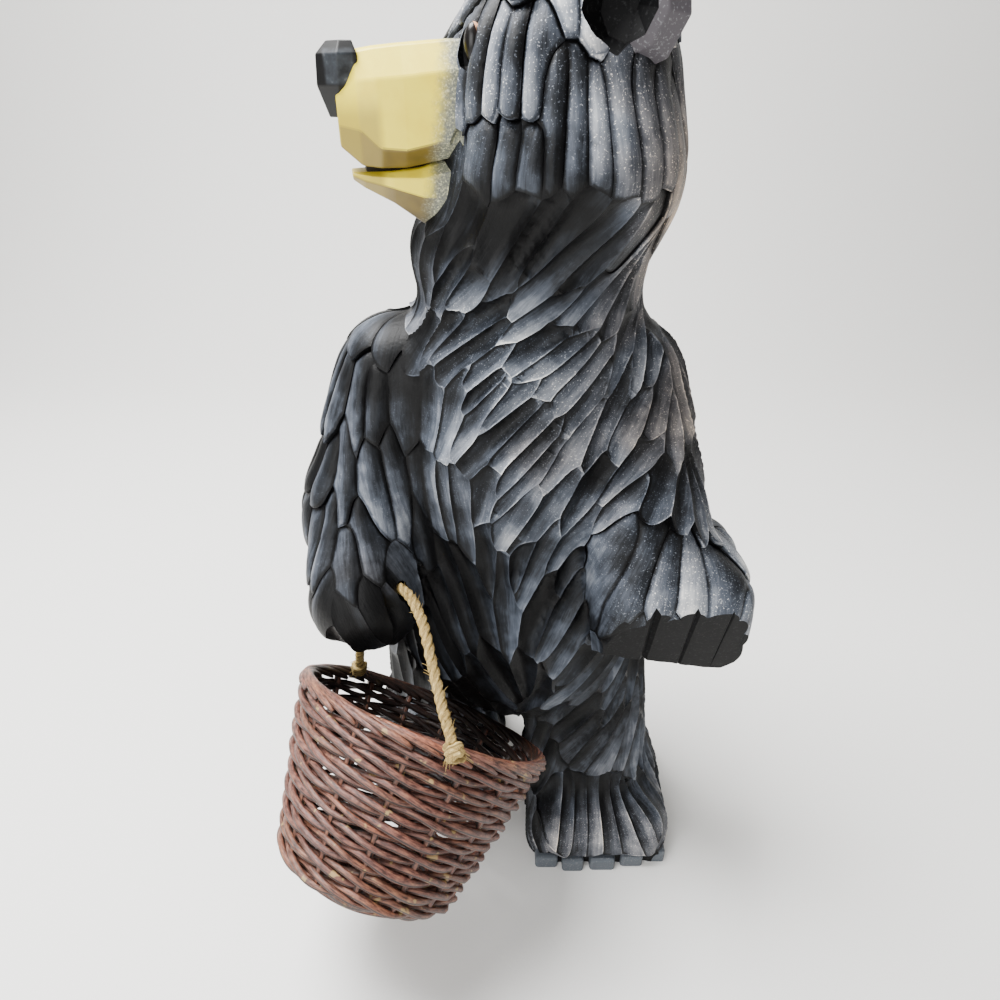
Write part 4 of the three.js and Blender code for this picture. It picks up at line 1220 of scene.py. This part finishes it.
class Paint:
    """A small helper that lays out the nodes of one material."""

    def __init__(self, name, roughness=0.6, specular=0.5):
        self.material = bpy.data.materials.new(name)
        self.material.use_nodes = True
        self.tree = self.material.node_tree
        self.shader = self.tree.nodes["Principled BSDF"]
        self.shader.inputs["Roughness"].default_value = roughness
        self.shader.inputs["Specular IOR Level"].default_value = specular

    def node(self, kind, inputs=(), **settings):
        node = self.tree.nodes.new(kind)
        for name, value in settings.items():
            setattr(node, name, value)
        for key, value in dict(inputs).items():
            if isinstance(value, bpy.types.NodeSocket):
                self.tree.links.new(value, node.inputs[key])
            else:
                node.inputs[key].default_value = value
        return node

    def value(self, name):
        return self.node("ShaderNodeAttribute", attribute_name=name).outputs["Fac"]

    def place(self):
        return self.node("ShaderNodeTexCoord").outputs["Object"]

    def math(self, operation, a, b=0.0, c=0.0, clamp=False):
        node = self.node("ShaderNodeMath", {0: a, 1: b, 2: c}, operation=operation, use_clamp=clamp)
        return node.outputs[0]

    def noise(self, vector, scale, detail=3.0, roughness=0.6):
        inputs = {"Vector": vector, "Scale": scale, "Detail": detail, "Roughness": roughness}
        return self.node("ShaderNodeTexNoise", inputs).outputs["Fac"]

    def between(self, value, low, high, start=0.0, end=1.0):
        inputs = {"Value": value, "From Min": low, "From Max": high, "To Min": start, "To Max": end}
        return self.node("ShaderNodeMapRange", inputs, interpolation_type="SMOOTHSTEP").outputs["Result"]

    def mix(self, share, a, b, blend="MIX"):
        node = self.node("ShaderNodeMix", {0: share, 6: a, 7: b}, data_type="RGBA", blend_type=blend)
        return node.outputs[2]

    def ramp(self, value, stops):
        node = self.node("ShaderNodeValToRGB", {"Fac": value})
        ramp = node.color_ramp
        while len(ramp.elements) < len(stops):
            ramp.elements.new(0.5)
        for element, (position, colour) in zip(ramp.elements, stops):
            element.position = position
            element.color = linear(colour)
        return node.outputs["Color"]

    def finish(self, colour, height=None, strength=0.3, distance=0.0005):
        self.tree.links.new(colour, self.shader.inputs["Base Color"])
        if height is not None:
            inputs = {"Height": height, "Strength": strength, "Distance": distance}
            bump = self.node("ShaderNodeBump", inputs)
            self.tree.links.new(bump.outputs["Normal"], self.shader.inputs["Normal"])
        return self.material


def fur_paint():
    """Charcoal resin with paler paint brushed over the ridges and specks of dust. Painted shade darkens a
    line under each step, the crevices and the upper end of each gouge, and painted light makes one side of
    each gouge paler.
    """
    paint = Paint("fur_paint", 0.48, 0.16)
    place = paint.place()
    brush, tone, run, side, step, rounded = (
        paint.value("fur_" + name) for name in ("brush", "tone", "run", "side", "step", "round"))
    hollow = paint.math("SUBTRACT", 1.0, rounded)
    fine = paint.noise(place, 700)
    grain = paint.node("ShaderNodeCombineXYZ", {
        "X": paint.value("fur_u"),
        "Y": paint.math("MULTIPLY", paint.value("fur_v"), 0.1),
        "Z": paint.math("MULTIPLY", tone, 50),
    }).outputs[0]
    streaks = paint.noise(grain, 1.0, 4.0, 0.65)
    pale = paint.math("MULTIPLY_ADD", brush, 0.48, 0.12)
    for value, low, high, change in (
        (paint.noise(place, 60), 0.3, 0.7, 0.13),
        (tone, 0, 1, 0.14),
        # Painted shade: each gouge is darker at its upper end, under the tier above, and paler at its lower
        # end.
        (run, -1.0, 0.9, 0.10),
        # Painted light: one side of each gouge is paler, the side that faces the light, and the other side
        # darker.
        (paint.math("MULTIPLY", side, paint.math("MULTIPLY_ADD", hollow, -1.8, 0.8)), -0.9, 0.9, 0.12),
        (streaks, 0.3, 0.7, 0.06),
    ):
        pale = paint.math("ADD", pale, paint.between(value, low, high, -change, change))
    edge = paint.math("MULTIPLY_ADD", fine, 0.6, paint.value("fur_edge"))
    worn = paint.between(paint.noise(place, 160), 0.42, 0.62, 0.15, 1.0)
    high = paint.math("MAXIMUM", paint.between(step, 0.2, 1.0), paint.math("MULTIPLY", hollow, 0.8))
    rim = paint.math("MULTIPLY", paint.between(edge, 0.35, 0.75, 1.0, 0.0), high)
    worn = paint.math("MULTIPLY", worn, paint.between(brush, 0.0, 1.0, 0.08, 0.42))
    rim = paint.math("MULTIPLY", rim, worn)
    # Painted shade: a dark line on the low side of each step, where the tier above hangs over it.
    line = paint.math("MULTIPLY", paint.between(edge, 0.3, 1.1, 1.0, 0.0), paint.between(step, -0.2, -0.7))
    pale = paint.math("SUBTRACT", paint.math("ADD", pale, rim), paint.math("MULTIPLY", line, 0.55))
    # Painted shade in the crevices: along the borders of rounded gouges, and on the upper side of hollow ones
    # under the ridge above.
    under = paint.math("MULTIPLY", paint.between(side, -0.1, 0.8), hollow)
    dark = paint.math("MULTIPLY_ADD", rounded, 0.7, under)
    crevice_shade = paint.math("MULTIPLY", dark, paint.between(edge, 0.4, 1.6, 0.38, 0.0))
    pale = paint.math("SUBTRACT", pale, crevice_shade)
    speck = paint.between(paint.noise(place, 1900, 2.0), 0.60, 0.70)
    dust = paint.math("MULTIPLY", speck, paint.between(brush, 0.15, 0.9, 0.03, 0.4))
    pale = paint.math("ADD", pale, dust, clamp=True)
    colour = paint.ramp(pale, [
        (0.0, "#010102"), (0.12, "#08090b"), (0.3, "#1d2025"), (0.5, "#464c56"),
        (0.7, "#7a8089"), (0.88, "#b0b4b8"), (1.0, "#e6e6e3")])
    patches = paint.between(paint.noise(place, 40, 1.0), 0.35, 0.5, 0.3, 1.0)
    warm = paint.math("MULTIPLY", paint.value("fur_warm"), patches)
    colour = paint.mix(warm, colour, paint.mix(1.0, colour, linear("#f0cfae"), "MULTIPLY"))
    height = paint.math("ADD", fine, paint.math("MULTIPLY", streaks, 1.2))
    return paint.finish(colour, height, 0.3, 0.0004)


def head_measures(paint):
    """Distance forward and up from the middle of the head, in millimetres."""
    move = paint.node("ShaderNodeMapping", {
        "Vector": paint.place(),
        "Location": tuple(-at_figure(HEAD_CENTRE)),
    }, vector_type="POINT").outputs[0]
    return [paint.node("ShaderNodeVectorMath", {0: move, 1: tuple(axis / MM)},
                       operation="DOT_PRODUCT").outputs["Value"] for axis in (HEAD_FORWARD, UP)]


def muzzle_paint():
    """Cream muzzle, ochre where it turns down to the lips, partly ochre paint and partly painted shade on the
    facets that face down, and speckled grey where the fur starts.
    """
    paint = Paint("muzzle_paint", 0.45)
    place = paint.place()
    forward, up = head_measures(paint)
    facing = paint.node("ShaderNodeNewGeometry").outputs["Normal"]
    down = paint.node("ShaderNodeSeparateXYZ", {0: facing}).outputs["Z"]
    cloud = paint.noise(place, 60)
    colour = paint.ramp(cloud, [(0.3, "#f6da22"), (0.5, "#ffe93a"), (0.75, "#f0d42a")])
    # Facets that face down turn darker ochre: partly ochre paint, partly painted shade.
    shade = paint.between(down, -0.08, -0.34)
    colour = paint.mix(shade, colour, paint.ramp(cloud, [(0.3, "#4f4010"), (0.7, "#7f6a1c")]))
    front = paint.math("MULTIPLY", paint.between(forward, 51, 54), paint.between(up, 6, -2, 0.0, 0.7))
    colour = paint.mix(front, colour, linear("#8d7a28"))
    back = paint.math("MULTIPLY_ADD", up, 0.15, forward)
    back = paint.math("MULTIPLY_ADD", paint.noise(place, 400), 4.0, back)
    border = paint.between(back, 36.5, 42.0, 1.0, 0.0)
    grey = paint.ramp(paint.noise(place, 1700), [(0.38, "#62655f"), (0.55, "#858670"), (0.66, "#c4c2a4")])
    colour = paint.mix(border, colour, grey)
    colour = paint.mix(paint.between(back, 28.5, 34.5, 0.85, 0.0), colour, linear("#2c2f33"))
    throat = paint.math("MULTIPLY_ADD", forward, -0.25, up)
    colour = paint.mix(paint.between(throat, -34, -42), colour, linear("#1d1a15"))
    return paint.finish(colour, paint.noise(place, 500), 0.12, 0.0003)


def nose_paint():
    """Black nose with a painted grey sheen, with paler painted glints, on a facet on each side."""
    paint = Paint("nose_paint", 0.45, 0.25)
    forward, up = head_measures(paint)
    cloud = paint.noise(paint.place(), 250)
    # Painted sheen: the grey, with paler glints, on the side facets between two heights.
    grey = paint.ramp(cloud, [(0.35, "#16181b"), (0.6, "#33373c"), (0.8, "#77797c")])
    edge = paint.math("MULTIPLY", paint.between(up, 5.8, 6.8), paint.between(up, 14.6, 13.8))
    front = paint.math("MULTIPLY", paint.between(forward, 66.0, 65.0), paint.between(forward, 57.6, 58.6))
    return paint.finish(paint.mix(paint.math("MULTIPLY", edge, front), linear("#030304"), grey))


def plain_paint(name, colour, roughness, speck=0.0, specular=0.5):
    paint = Paint(name, roughness, specular)
    place = paint.place()
    share = paint.between(paint.noise(place, 1200, 2.0), 0.55, 0.72, 0.0, speck)
    base = paint.mix(share, linear(colour), linear("#9a9c9e"))
    return paint.finish(base, paint.noise(place, 500), 0.15, 0.0003)


def willow_paint():
    """Brown bark with paler scars. The side that faces into the basket is dark with painted shade."""
    paint = Paint("willow_bark", 0.5)
    side, tone = paint.value("fibre_side"), paint.value("fibre_tone")
    along = paint.node("ShaderNodeCombineXYZ", {
        "X": paint.math("MULTIPLY", side, 1.2),
        "Y": paint.math("MULTIPLY", paint.value("fibre_run"), 0.2),
        "Z": paint.math("MULTIPLY", tone, 90),
    }).outputs[0]
    streaks = paint.noise(along, 1.6, 5.0, 0.65)
    place = paint.place()
    colour = paint.ramp(streaks, [
        (0.28, "#180e0b"), (0.42, "#4a2f27"), (0.52, "#745046"), (0.66, "#936d58"), (0.8, "#b09468")])
    tint = paint.ramp(tone, [
        (0.0, "#857674"), (0.3, "#9a7a70"), (0.55, "#8a6c62"),
        (0.8, "#a08c62"), (0.95, "#b08a60"), (1.0, "#d19a60")])
    colour = paint.mix(0.55, colour, paint.mix(1.0, colour, tint, "OVERLAY"))
    scar = paint.between(paint.noise(place, 210, 2.0), 0.64, 0.7, 0.0, 0.55)
    colour = paint.mix(scar, colour, linear("#b39a63"))
    # Painted shade on the side of each rod that faces into the basket.
    inner = paint.between(paint.math("COSINE", side), 0.1, -0.5, 0.0, 0.88)
    colour = paint.mix(inner, colour, linear("#040302"))
    return paint.finish(colour, streaks, 0.5, 0.0006)


def jute_paint():
    """Straw-coloured fibre with painted shade in the valleys between the strands."""
    paint = Paint("jute_fibre", 0.85, 0.2)
    along = paint.node("ShaderNodeCombineXYZ", {
        "X": paint.math("MULTIPLY", paint.value("fibre_side"), 3.0),
        "Y": paint.math("MULTIPLY", paint.value("fibre_run"), 0.5),
        "Z": paint.math("MULTIPLY", paint.value("fibre_tone"), 40),
    }).outputs[0]
    streaks = paint.noise(along, 2.2, 4.0, 0.6)
    colour = paint.ramp(streaks, [(0.3, "#7a6237"), (0.45, "#ab8f55"), (0.6, "#cdb47a"), (0.75, "#e8d8a6")])
    # Painted shade in the valleys between the strands.
    valley_shade = paint.between(paint.math("COSINE", paint.value("fibre_side")), 0.3, -0.5, 0.0, 0.6)
    colour = paint.mix(valley_shade, colour, linear("#4a3a1e"))
    return paint.finish(colour, streaks, 0.8, 0.0006)


def eye_paint():
    """Dark eye with a flesh-coloured corner at its upper back."""
    paint = Paint("eye_paint", 0.3, 0.3)
    corner = unit(UP * 0.5 - HEAD_FORWARD * 0.85)
    facing = paint.node("ShaderNodeNewGeometry").outputs["Normal"]
    behind = paint.node("ShaderNodeVectorMath", {0: facing, 1: tuple(corner)},
                        operation="DOT_PRODUCT").outputs["Value"]
    colour = paint.ramp(behind, [(0.0, "#080505"), (0.36, "#1c0f0b"), (0.42, "#e0a883"), (1.0, "#e0a883")])
    return paint.finish(colour)


def bear_paints():
    return {
        "fur": fur_paint(),
        "muzzle": muzzle_paint(),
        "black": plain_paint("black_paint", "#030304", 0.6, 0.04, 0.12),
        "nose": nose_paint(),
        "claw": plain_paint("claw_paint", "#4b5158", 0.6, 0.3),
        "mouth": plain_paint("mouth_paint", "#1a140c", 0.6),
        "ear": plain_paint("ear_paint", "#444045", 0.6, 0.35),
        "eye": eye_paint(),
    }


def form(shape, material, bevel):
    """One form in a paint of its own, bevelled where a width is given."""
    points, faces = shape
    made = mesh_object("form", at_figure(points), faces, material)
    if bevel:
        modifier = made.modifiers.new("bevel", "BEVEL")
        modifier.width = bevel * MM
        modifier.segments = 2
        modifier.limit_method = "ANGLE"
        modifier.angle_limit = BEVEL_ANGLE
        apply_modifier(made, modifier)
    return made


def join(bear, shape, material, bevel=0.0):
    boolean(bear, form(shape, material, bevel), "UNION")


def cut(bear, shape, material):
    boolean(bear, form(shape, material, 0.0), "DIFFERENCE")


def join_face(bear, paints):
    """Muzzle, jaw, the dark of the mouth between them and nose."""
    for ring, sections, paint, bevel in (
        (muzzle_ring, MUZZLE_SECTIONS, "muzzle", MUZZLE_BEVEL),
        (jaw_ring, JAW_SECTIONS, "muzzle", MUZZLE_BEVEL),
        (jaw_ring, MOUTH_SECTIONS, "mouth", 0.0),
        (nose_ring, NOSE_SECTIONS, "nose", NOSE_BEVEL),
    ):
        join(bear, loft([ring(*section) for section in sections]), paints[paint], bevel)


def join_claws(bear, paints):
    """The recess at each foot's front and the claws that stand in it."""
    for (centre, half, _), side in ((LEFT_FOOT, 1), (RIGHT_FOOT, -1)):
        front = centre[1] - half[1]
        low = (centre[0] - half[0] - CLAW_REACH, front - CLAW_REACH, -CLAW_REACH)
        high = (centre[0] + half[0] + CLAW_REACH, front + CLAW_RECESS, CLAW_HEIGHT + CLAW_HEADROOM)
        cut(bear, box_shape(low, high), paints["black"])
        for across, half_width, ahead in CLAWS:
            x, y = centre[0] + side * across, front - ahead
            low = (x - half_width, y, -CLAW_REACH)
            high = (x + half_width, y + CLAW_LENGTH, CLAW_HEIGHT)
            join(bear, box_shape(low, high), paints["claw"], CLAW_BEVEL)


def trim_muzzle(bear, paints, side):
    """Scoops behind the nose and the crease at the corner of the mouth."""
    for forward, left, up, half in MUZZLE_SCOOPS:
        scoop = faceted_ball(head_point(forward, side * left, up), (HEAD_FORWARD, HEAD_LEFT, UP), half, 12, 6)
        cut(bear, scoop, paints["muzzle"])
    forward, left, up = MOUTH_CORNER
    corner = head_point(forward, side * left, up)
    crease = groove_shape(corner, UP * 0.85 - HEAD_FORWARD * 0.5, HEAD_LEFT * side, *CREASE_SIZES)
    cut(bear, crease, paints["muzzle"])


def join_ear(bear, paints, side):
    forward, left, up = EAR_PLACE
    centre = head_point(forward, side * left, up)
    facing = unit(HEAD_FORWARD * 0.65 + HEAD_LEFT * 0.7 * side)
    level = unit(np.cross(unit(UP + HEAD_LEFT * 0.25 * side), facing))
    directions = (level, np.cross(facing, level), facing)
    cup_half = EAR_CUP_START - EAR_HALF_SIZES[2] + EAR_CUP_DEPTH
    outer = faceted_ball(centre, directions, EAR_HALF_SIZES, 9, 4)
    cup = faceted_ball(centre + facing * EAR_CUP_START, directions, (*EAR_CUP_RADII, cup_half), 9, 4)
    join(bear, outer, paints["ear"], EAR_BEVEL)
    cut(bear, cup, paints["black"])


def join_eye(bear, paints, side):
    """A socket with the eye in it."""
    forward, left, up = EYE_PLACE
    centre = head_point(forward, side * left, up)
    directions = (HEAD_FORWARD, HEAD_LEFT, UP)
    socket = faceted_ball(centre + HEAD_FORWARD * SOCKET_FORWARD, directions, SOCKET_HALF_SIZES, 9, 5)
    cut(bear, socket, paints["black"])
    join(bear, faceted_ball(centre, directions, EYE_HALF_SIZES, 28, 16), paints["eye"])


def cut_flats(bear, paints):
    """The flat end of the left paw with the grooves between its fingers, the soles, and the rope's bore."""
    shapes = [block_beyond(PAW_END_POINT, PAW_END_FACING, PAW_BLOCK)]
    for x in FINGER_PLACES:
        point = (x, PAW_END_POINT[1], PAW_END_POINT[2])
        shapes.append(groove_shape(point, FINGER_LINE, PAW_END_FACING, *FINGER_GROOVE_SIZES))
    shapes.append(block_beyond(np.zeros(3), (0, 0, -1), SOLE_BLOCK))
    for shape in shapes:
        cut(bear, shape, paints["black"])
    line, _ = smooth_line(np.array(ROPE_ROUTE_M[BORE_FIRST:BORE_LAST + 1]) / MM, 24)
    bore = Bundle()
    bore.tube(line, ROPE_DIAMETER / 2 + BORE_CLEARANCE, LEVEL_SIDE, sides=12)
    cut(bear, bore.shape(), paints["black"])


class GREETER_OT_bear(bpy.types.Operator):
    """Carves the bear, with its head, paws and feet"""
    bl_idname = "greeter.bear"
    bl_label = "Bear"

    def execute(self, context):
        paints = bear_paints()
        carved = carve(context.scene.greeter_fur)
        bear = triangle_object("bear_figure", at_figure(carved["points"]), carved["faces"], paints["fur"])
        for name, values in carved["values"].items():
            set_attribute(bear, "fur_" + name, values, "CORNER")
        join_face(bear, paints)
        join_claws(bear, paints)
        for side in (1, -1):
            trim_muzzle(bear, paints, side)
            join_ear(bear, paints, side)
            join_eye(bear, paints, side)
        cut_flats(bear, paints)

        index = np.zeros(len(bear.data.polygons), np.int32)
        bear.data.polygons.foreach_get("material_index", index)
        names = [material.name for material in bear.data.materials]
        fur, eye = names.index("fur_paint"), names.index("eye_paint")
        bear.data.shade_smooth()
        sharpen_ridges(bear.data, index == eye, RIDGE_ANGLE)
        bear.data.polygons.foreach_set("use_smooth", np.isin(index, [fur, eye]))
        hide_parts("bear")
        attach(bear, "root")
        return {"FINISHED"}


def weave_wall(settings, willow):
    """Three rods to a row. Each passes in front of two stakes and behind the third."""
    rod, stake, swing = (v / MM for v in (settings.rod_radius, settings.stake_radius, settings.swing))
    wall = Bundle()
    for k in range(STAKE_COUNT):
        below = np.linspace(STAKE_TOP, FOOT_LEVEL, 16)
        angle = TURN * (k + 0.5) / STAKE_COUNT + STAKE_WAVER * np.sin(below / 9 + k)
        line = basket_point(below, wall_radius(below) - STAKE_DEPTH, angle)
        wall.tube(line, stake, BASKET_AXIS + LOW_SIDE * 0.3, sides=6, tone=scatter(k + 2.0))
    pitch = (WEAVE_BOTTOM - WEAVE_TOP) / settings.rows
    angle = round_angles()
    for row in range(settings.rows):
        for strand in range(3):
            seed = row * 3.0 + strand
            phase = angle * STAKE_COUNT / 3 + TURN * (strand / 3 + row / 6)
            below = WEAVE_TOP + pitch * (row + 0.5) + WEAVE_CROSSING * pitch * np.sin(phase)
            below += 0.35 * np.sin(3 * angle + 5 * seed) + 0.2 * np.sin(11 * angle + 2 * seed)
            radius = wall_radius(below) - WEAVE_DEPTH + swing * (np.cos(phase) + 0.15)
            thick = rod * vary(seed, 0.82, 0.36) * (1 + 0.08 * np.sin(7 * angle + seed))
            line = basket_point(below, radius, angle)
            wall.tube(line, thick, BASKET_AXIS, closed=True, tone=scatter(seed + 40))
    return wall.object("basket_weave", willow)


def lay_border(willow):
    """Each rod comes up inside the wall, bends over and ends outside it, past the next stakes."""
    border = Bundle()
    middle = BASKET_RIM_RADIUS - WALL_THICKNESS / 2
    share = np.linspace(0, 1, 22)
    for k in range(2 * STAKE_COUNT):
        angle = TURN * (0.5 * k + 0.25 + BORDER_REACH * share) / STAKE_COUNT
        below = 2.0 - 3.6 * np.sin(math.pi * share) ** 0.8 + 0.3 * np.sin(5 * share + k)
        radius = middle - vary(k + 0.5, 1.6, 0.3) * np.cos(math.pi * share)
        taper = np.minimum(1, 0.5 + 8 * share * (1 - share))
        thick = BORDER_ROD * vary(k + 7.0, 0.85, 0.3) * taper
        border.tube(basket_point(below, radius, angle), thick, BASKET_AXIS, tone=scatter(k + 70.0))
    return border.object("basket_border", willow)


def lay_foot(willow):
    """A coil of rods over crossed sticks, with stout rods round its edge."""
    foot = Bundle()
    angle = round_angles()
    for ring in range(FOOT_RINGS):
        radius = FOOT_HEART + (BASKET_BASE_RADIUS - FOOT_MARGIN - FOOT_HEART) * ring / (FOOT_RINGS - 1)
        line = basket_point(FOOT_LEVEL + 0.8 * np.cos(8 * angle + math.pi * ring), radius, angle)
        foot.tube(line, FOOT_ROD, BASKET_AXIS, sides=6, closed=True, tone=scatter(ring + 90))
    reach = BASKET_BASE_RADIUS - FOOT_MARGIN + 0.1
    for k in range(FOOT_STICKS):
        across = np.linspace(-reach, reach, 9)
        line = basket_point(FOOT_LEVEL, across, math.pi * k / FOOT_STICKS)
        foot.tube(line, FOOT_STICK, BASKET_AXIS, sides=6, tone=scatter(k + 120))
    for k in range(FOOT_EDGE_RODS):
        below = BASKET_HEIGHT - 0.6 - FOOT_STICK * k + 0.4 * np.sin(4 * angle + 2 * k)
        line = basket_point(below, BASKET_BASE_RADIUS - 4.6 + FOOT_STICK / 2 * k, angle)
        foot.tube(line, FOOT_STICK, BASKET_AXIS, closed=True, tone=1.0)
    return foot.object("basket_foot", willow)


class GREETER_OT_basket(bpy.types.Operator):
    """Weaves the basket from stakes and rods"""
    bl_idname = "greeter.basket"
    bl_label = "Basket"

    def execute(self, context):
        willow = willow_paint()
        wall = weave_wall(context.scene.greeter_basket, willow)
        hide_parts("basket_wall")
        border = lay_border(willow)
        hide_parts("basket_rim")
        foot = lay_foot(willow)
        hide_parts("basket_base")
        for piece in (wall, border, foot):
            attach(piece, "root")
        return {"FINISHED"}


def twist_rope(settings, line, length, jute):
    """Twists the strands round the route and lets stray fibres stand out."""
    radius = settings.diameter / MM / 2
    strand_radius = settings.diameter / MM * STRAND_SHARE
    side, up = sides_of(line)
    run = np.linspace(0, length, len(line))
    rope = Bundle()
    for strand in range(settings.strands):
        turns = run / (settings.twist / MM) + 0.25 * np.sin(run / 9.0) + strand / settings.strands
        offset = side * np.cos(TURN * turns)[:, None] + up * np.sin(TURN * turns)[:, None]
        thick = 1 + 0.09 * np.sin(run * 1.3 + strand) + 0.06 * np.sin(run * 3.1 + 2 * strand)
        rope.tube(line + offset * (radius - strand_radius), strand_radius * thick, offset,
                  sides=9, tone=scatter(strand + 5.0))
    for k in range(settings.fibres):
        at = int(3 + (len(line) - 7) * scatter(k + 0.25))
        turn = TURN * scatter(k + 0.75)
        out = side[at] * math.cos(turn) + up[at] * math.sin(turn)
        lean = unit(line[at + 3] - line[at - 3])
        start = line[at] + out * settings.diameter / MM * 0.4
        rope.fibre(start, unit(out + lean * 1.6), out, vary(k + 0.5, 1.0, 1.5), k)
    return rope.object("rope_handle", jute)


def tie_knot(settings, name, end, inner, jute):
    """A short coil at an end of the rope, with frayed fibres."""
    along = unit(end - inner)
    across = unit(np.cross(along, UP))
    third = np.cross(along, across)
    turns = np.linspace(0, TURN * KNOT_TURNS, 60)
    coil = (end + along * (0.4 + KNOT_LENGTH * turns[:, None] / turns[-1])
            + across * KNOT_COIL * np.cos(turns)[:, None] + third * KNOT_COIL * np.sin(turns)[:, None])
    knot = Bundle()
    knot.tube(coil, 1.5 + 0.15 * np.sin(5 * turns), along, sides=9, tone=0.4)
    for k in range(settings.fibres // 2):
        turn = TURN * scatter(k + 0.1)
        out = across * math.cos(turn) + third * math.sin(turn)
        start = end + along * vary(k + 0.6, 1.0, 4.0) + out * 2.8
        knot.fibre(start, unit(out + along * 0.8), along, vary(k + 0.3, 1.0, 2.4), k)
    return knot.object("rope_knot_" + name + "_twist", jute)


class GREETER_OT_rope(bpy.types.Operator):
    """Lays the rope handle along its route, with a knot at each end"""
    bl_idname = "greeter.rope"
    bl_label = "Rope handle"

    def execute(self, context):
        settings = context.scene.greeter_rope
        jute = jute_paint()
        line, length = smooth_line(np.array(ROPE_ROUTE_M) / MM, 150)
        body = twist_rope(settings, line, length, jute)
        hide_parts("handle_rope")
        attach(body, "root")
        for name, end, inner in (("near", line[0], line[4]), ("far", line[-1], line[-5])):
            made = tie_knot(settings, name, end, inner, jute)
            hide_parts("rope_knot_" + name)
            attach(made, "root")
        return {"FINISHED"}


class GREETER_OT_stage(bpy.types.Operator):
    """Sets up the camera, the pale floor and the soft lights"""
    bl_idname = "greeter.stage"
    bl_label = "Camera, floor and lights"

    def execute(self, context):
        data = bpy.data.cameras.new("camera")
        data.sensor_width = CAMERA_SENSOR
        data.lens = CAMERA_LENS
        data.clip_start = CAMERA_NEAR
        camera = bpy.data.objects.new("camera", data)
        camera.location = at_figure(CAMERA_PLACE)
        camera.rotation_euler = (math.radians(90 - CAMERA_DOWN), 0, 0)
        context.collection.objects.link(camera)
        context.scene.camera = camera
        profile = [(-FLOOR_REACH, 0.0), (SWEEP_START, 0.0)]
        for angle in np.linspace(0, math.pi / 2, 17)[1:]:
            y = SWEEP_START + SWEEP_RADIUS * math.sin(angle)
            profile.append((y, SWEEP_RADIUS * (1 - math.cos(angle))))
        profile.append((SWEEP_START + SWEEP_RADIUS, SWEEP_HEIGHT))
        points = [(x, y, z) for y, z in profile for x in (-FLOOR_REACH, FLOOR_REACH)]
        faces = [(2 * i, 2 * i + 1, 2 * i + 3, 2 * i + 2) for i in range(len(profile) - 1)]
        floor = mesh_object("floor", points, faces, plain_paint("floor_paint", "#ecebe8", 0.7))
        floor.data.shade_smooth()
        for name, size, energy, place in LAMPS:
            lamp = bpy.data.lights.new(name, "AREA")
            lamp.size = size
            lamp.energy = energy
            light = bpy.data.objects.new(name, lamp)
            light.location = place
            light.rotation_euler = (LAMP_AIM - light.location).to_track_quat("-Z", "Y").to_euler()
            context.collection.objects.link(light)
        world = bpy.data.worlds.new("room")
        world.use_nodes = True
        background = world.node_tree.nodes["Background"]
        background.inputs["Color"].default_value = ROOM_COLOUR
        background.inputs["Strength"].default_value = ROOM_STRENGTH
        context.scene.world = world
        return {"FINISHED"}


class GREETER_PT_panel(bpy.types.Panel):
    """Panel with the greeter's sizes and steps"""
    bl_idname = "GREETER_PT_panel"
    bl_label = "Bear door greeter"
    bl_space_type = "VIEW_3D"
    bl_region_type = "UI"
    bl_category = "Greeter"

    def draw(self, context):
        layout = self.layout
        for group in ("greeter_fur", "greeter_basket", "greeter_rope"):
            settings = getattr(context.scene, group)
            box = layout.box()
            for name in settings.__annotations__:
                box.prop(settings, name)
        for operator in STEPS:
            layout.operator(operator.bl_idname)


STEPS = (GREETER_OT_stage, GREETER_OT_rope, GREETER_OT_bear, GREETER_OT_basket)
GROUPS = {"greeter_fur": GreeterFur, "greeter_basket": GreeterBasket, "greeter_rope": GreeterRope}


def register():
    for cls in (*GROUPS.values(), *STEPS, GREETER_PT_panel):
        bpy.utils.register_class(cls)
    for name, group in GROUPS.items():
        setattr(bpy.types.Scene, name, bpy.props.PointerProperty(type=group))


def unregister():
    for name in GROUPS:
        delattr(bpy.types.Scene, name)
    for cls in (GREETER_PT_panel, *reversed(STEPS), *GROUPS.values()):
        bpy.utils.unregister_class(cls)


def main():
    register()
    bpy.ops.greeter.stage()
    bpy.ops.greeter.rope()
    bpy.ops.greeter.bear()
    bpy.ops.greeter.basket()


if __name__ == "__main__":
    main()
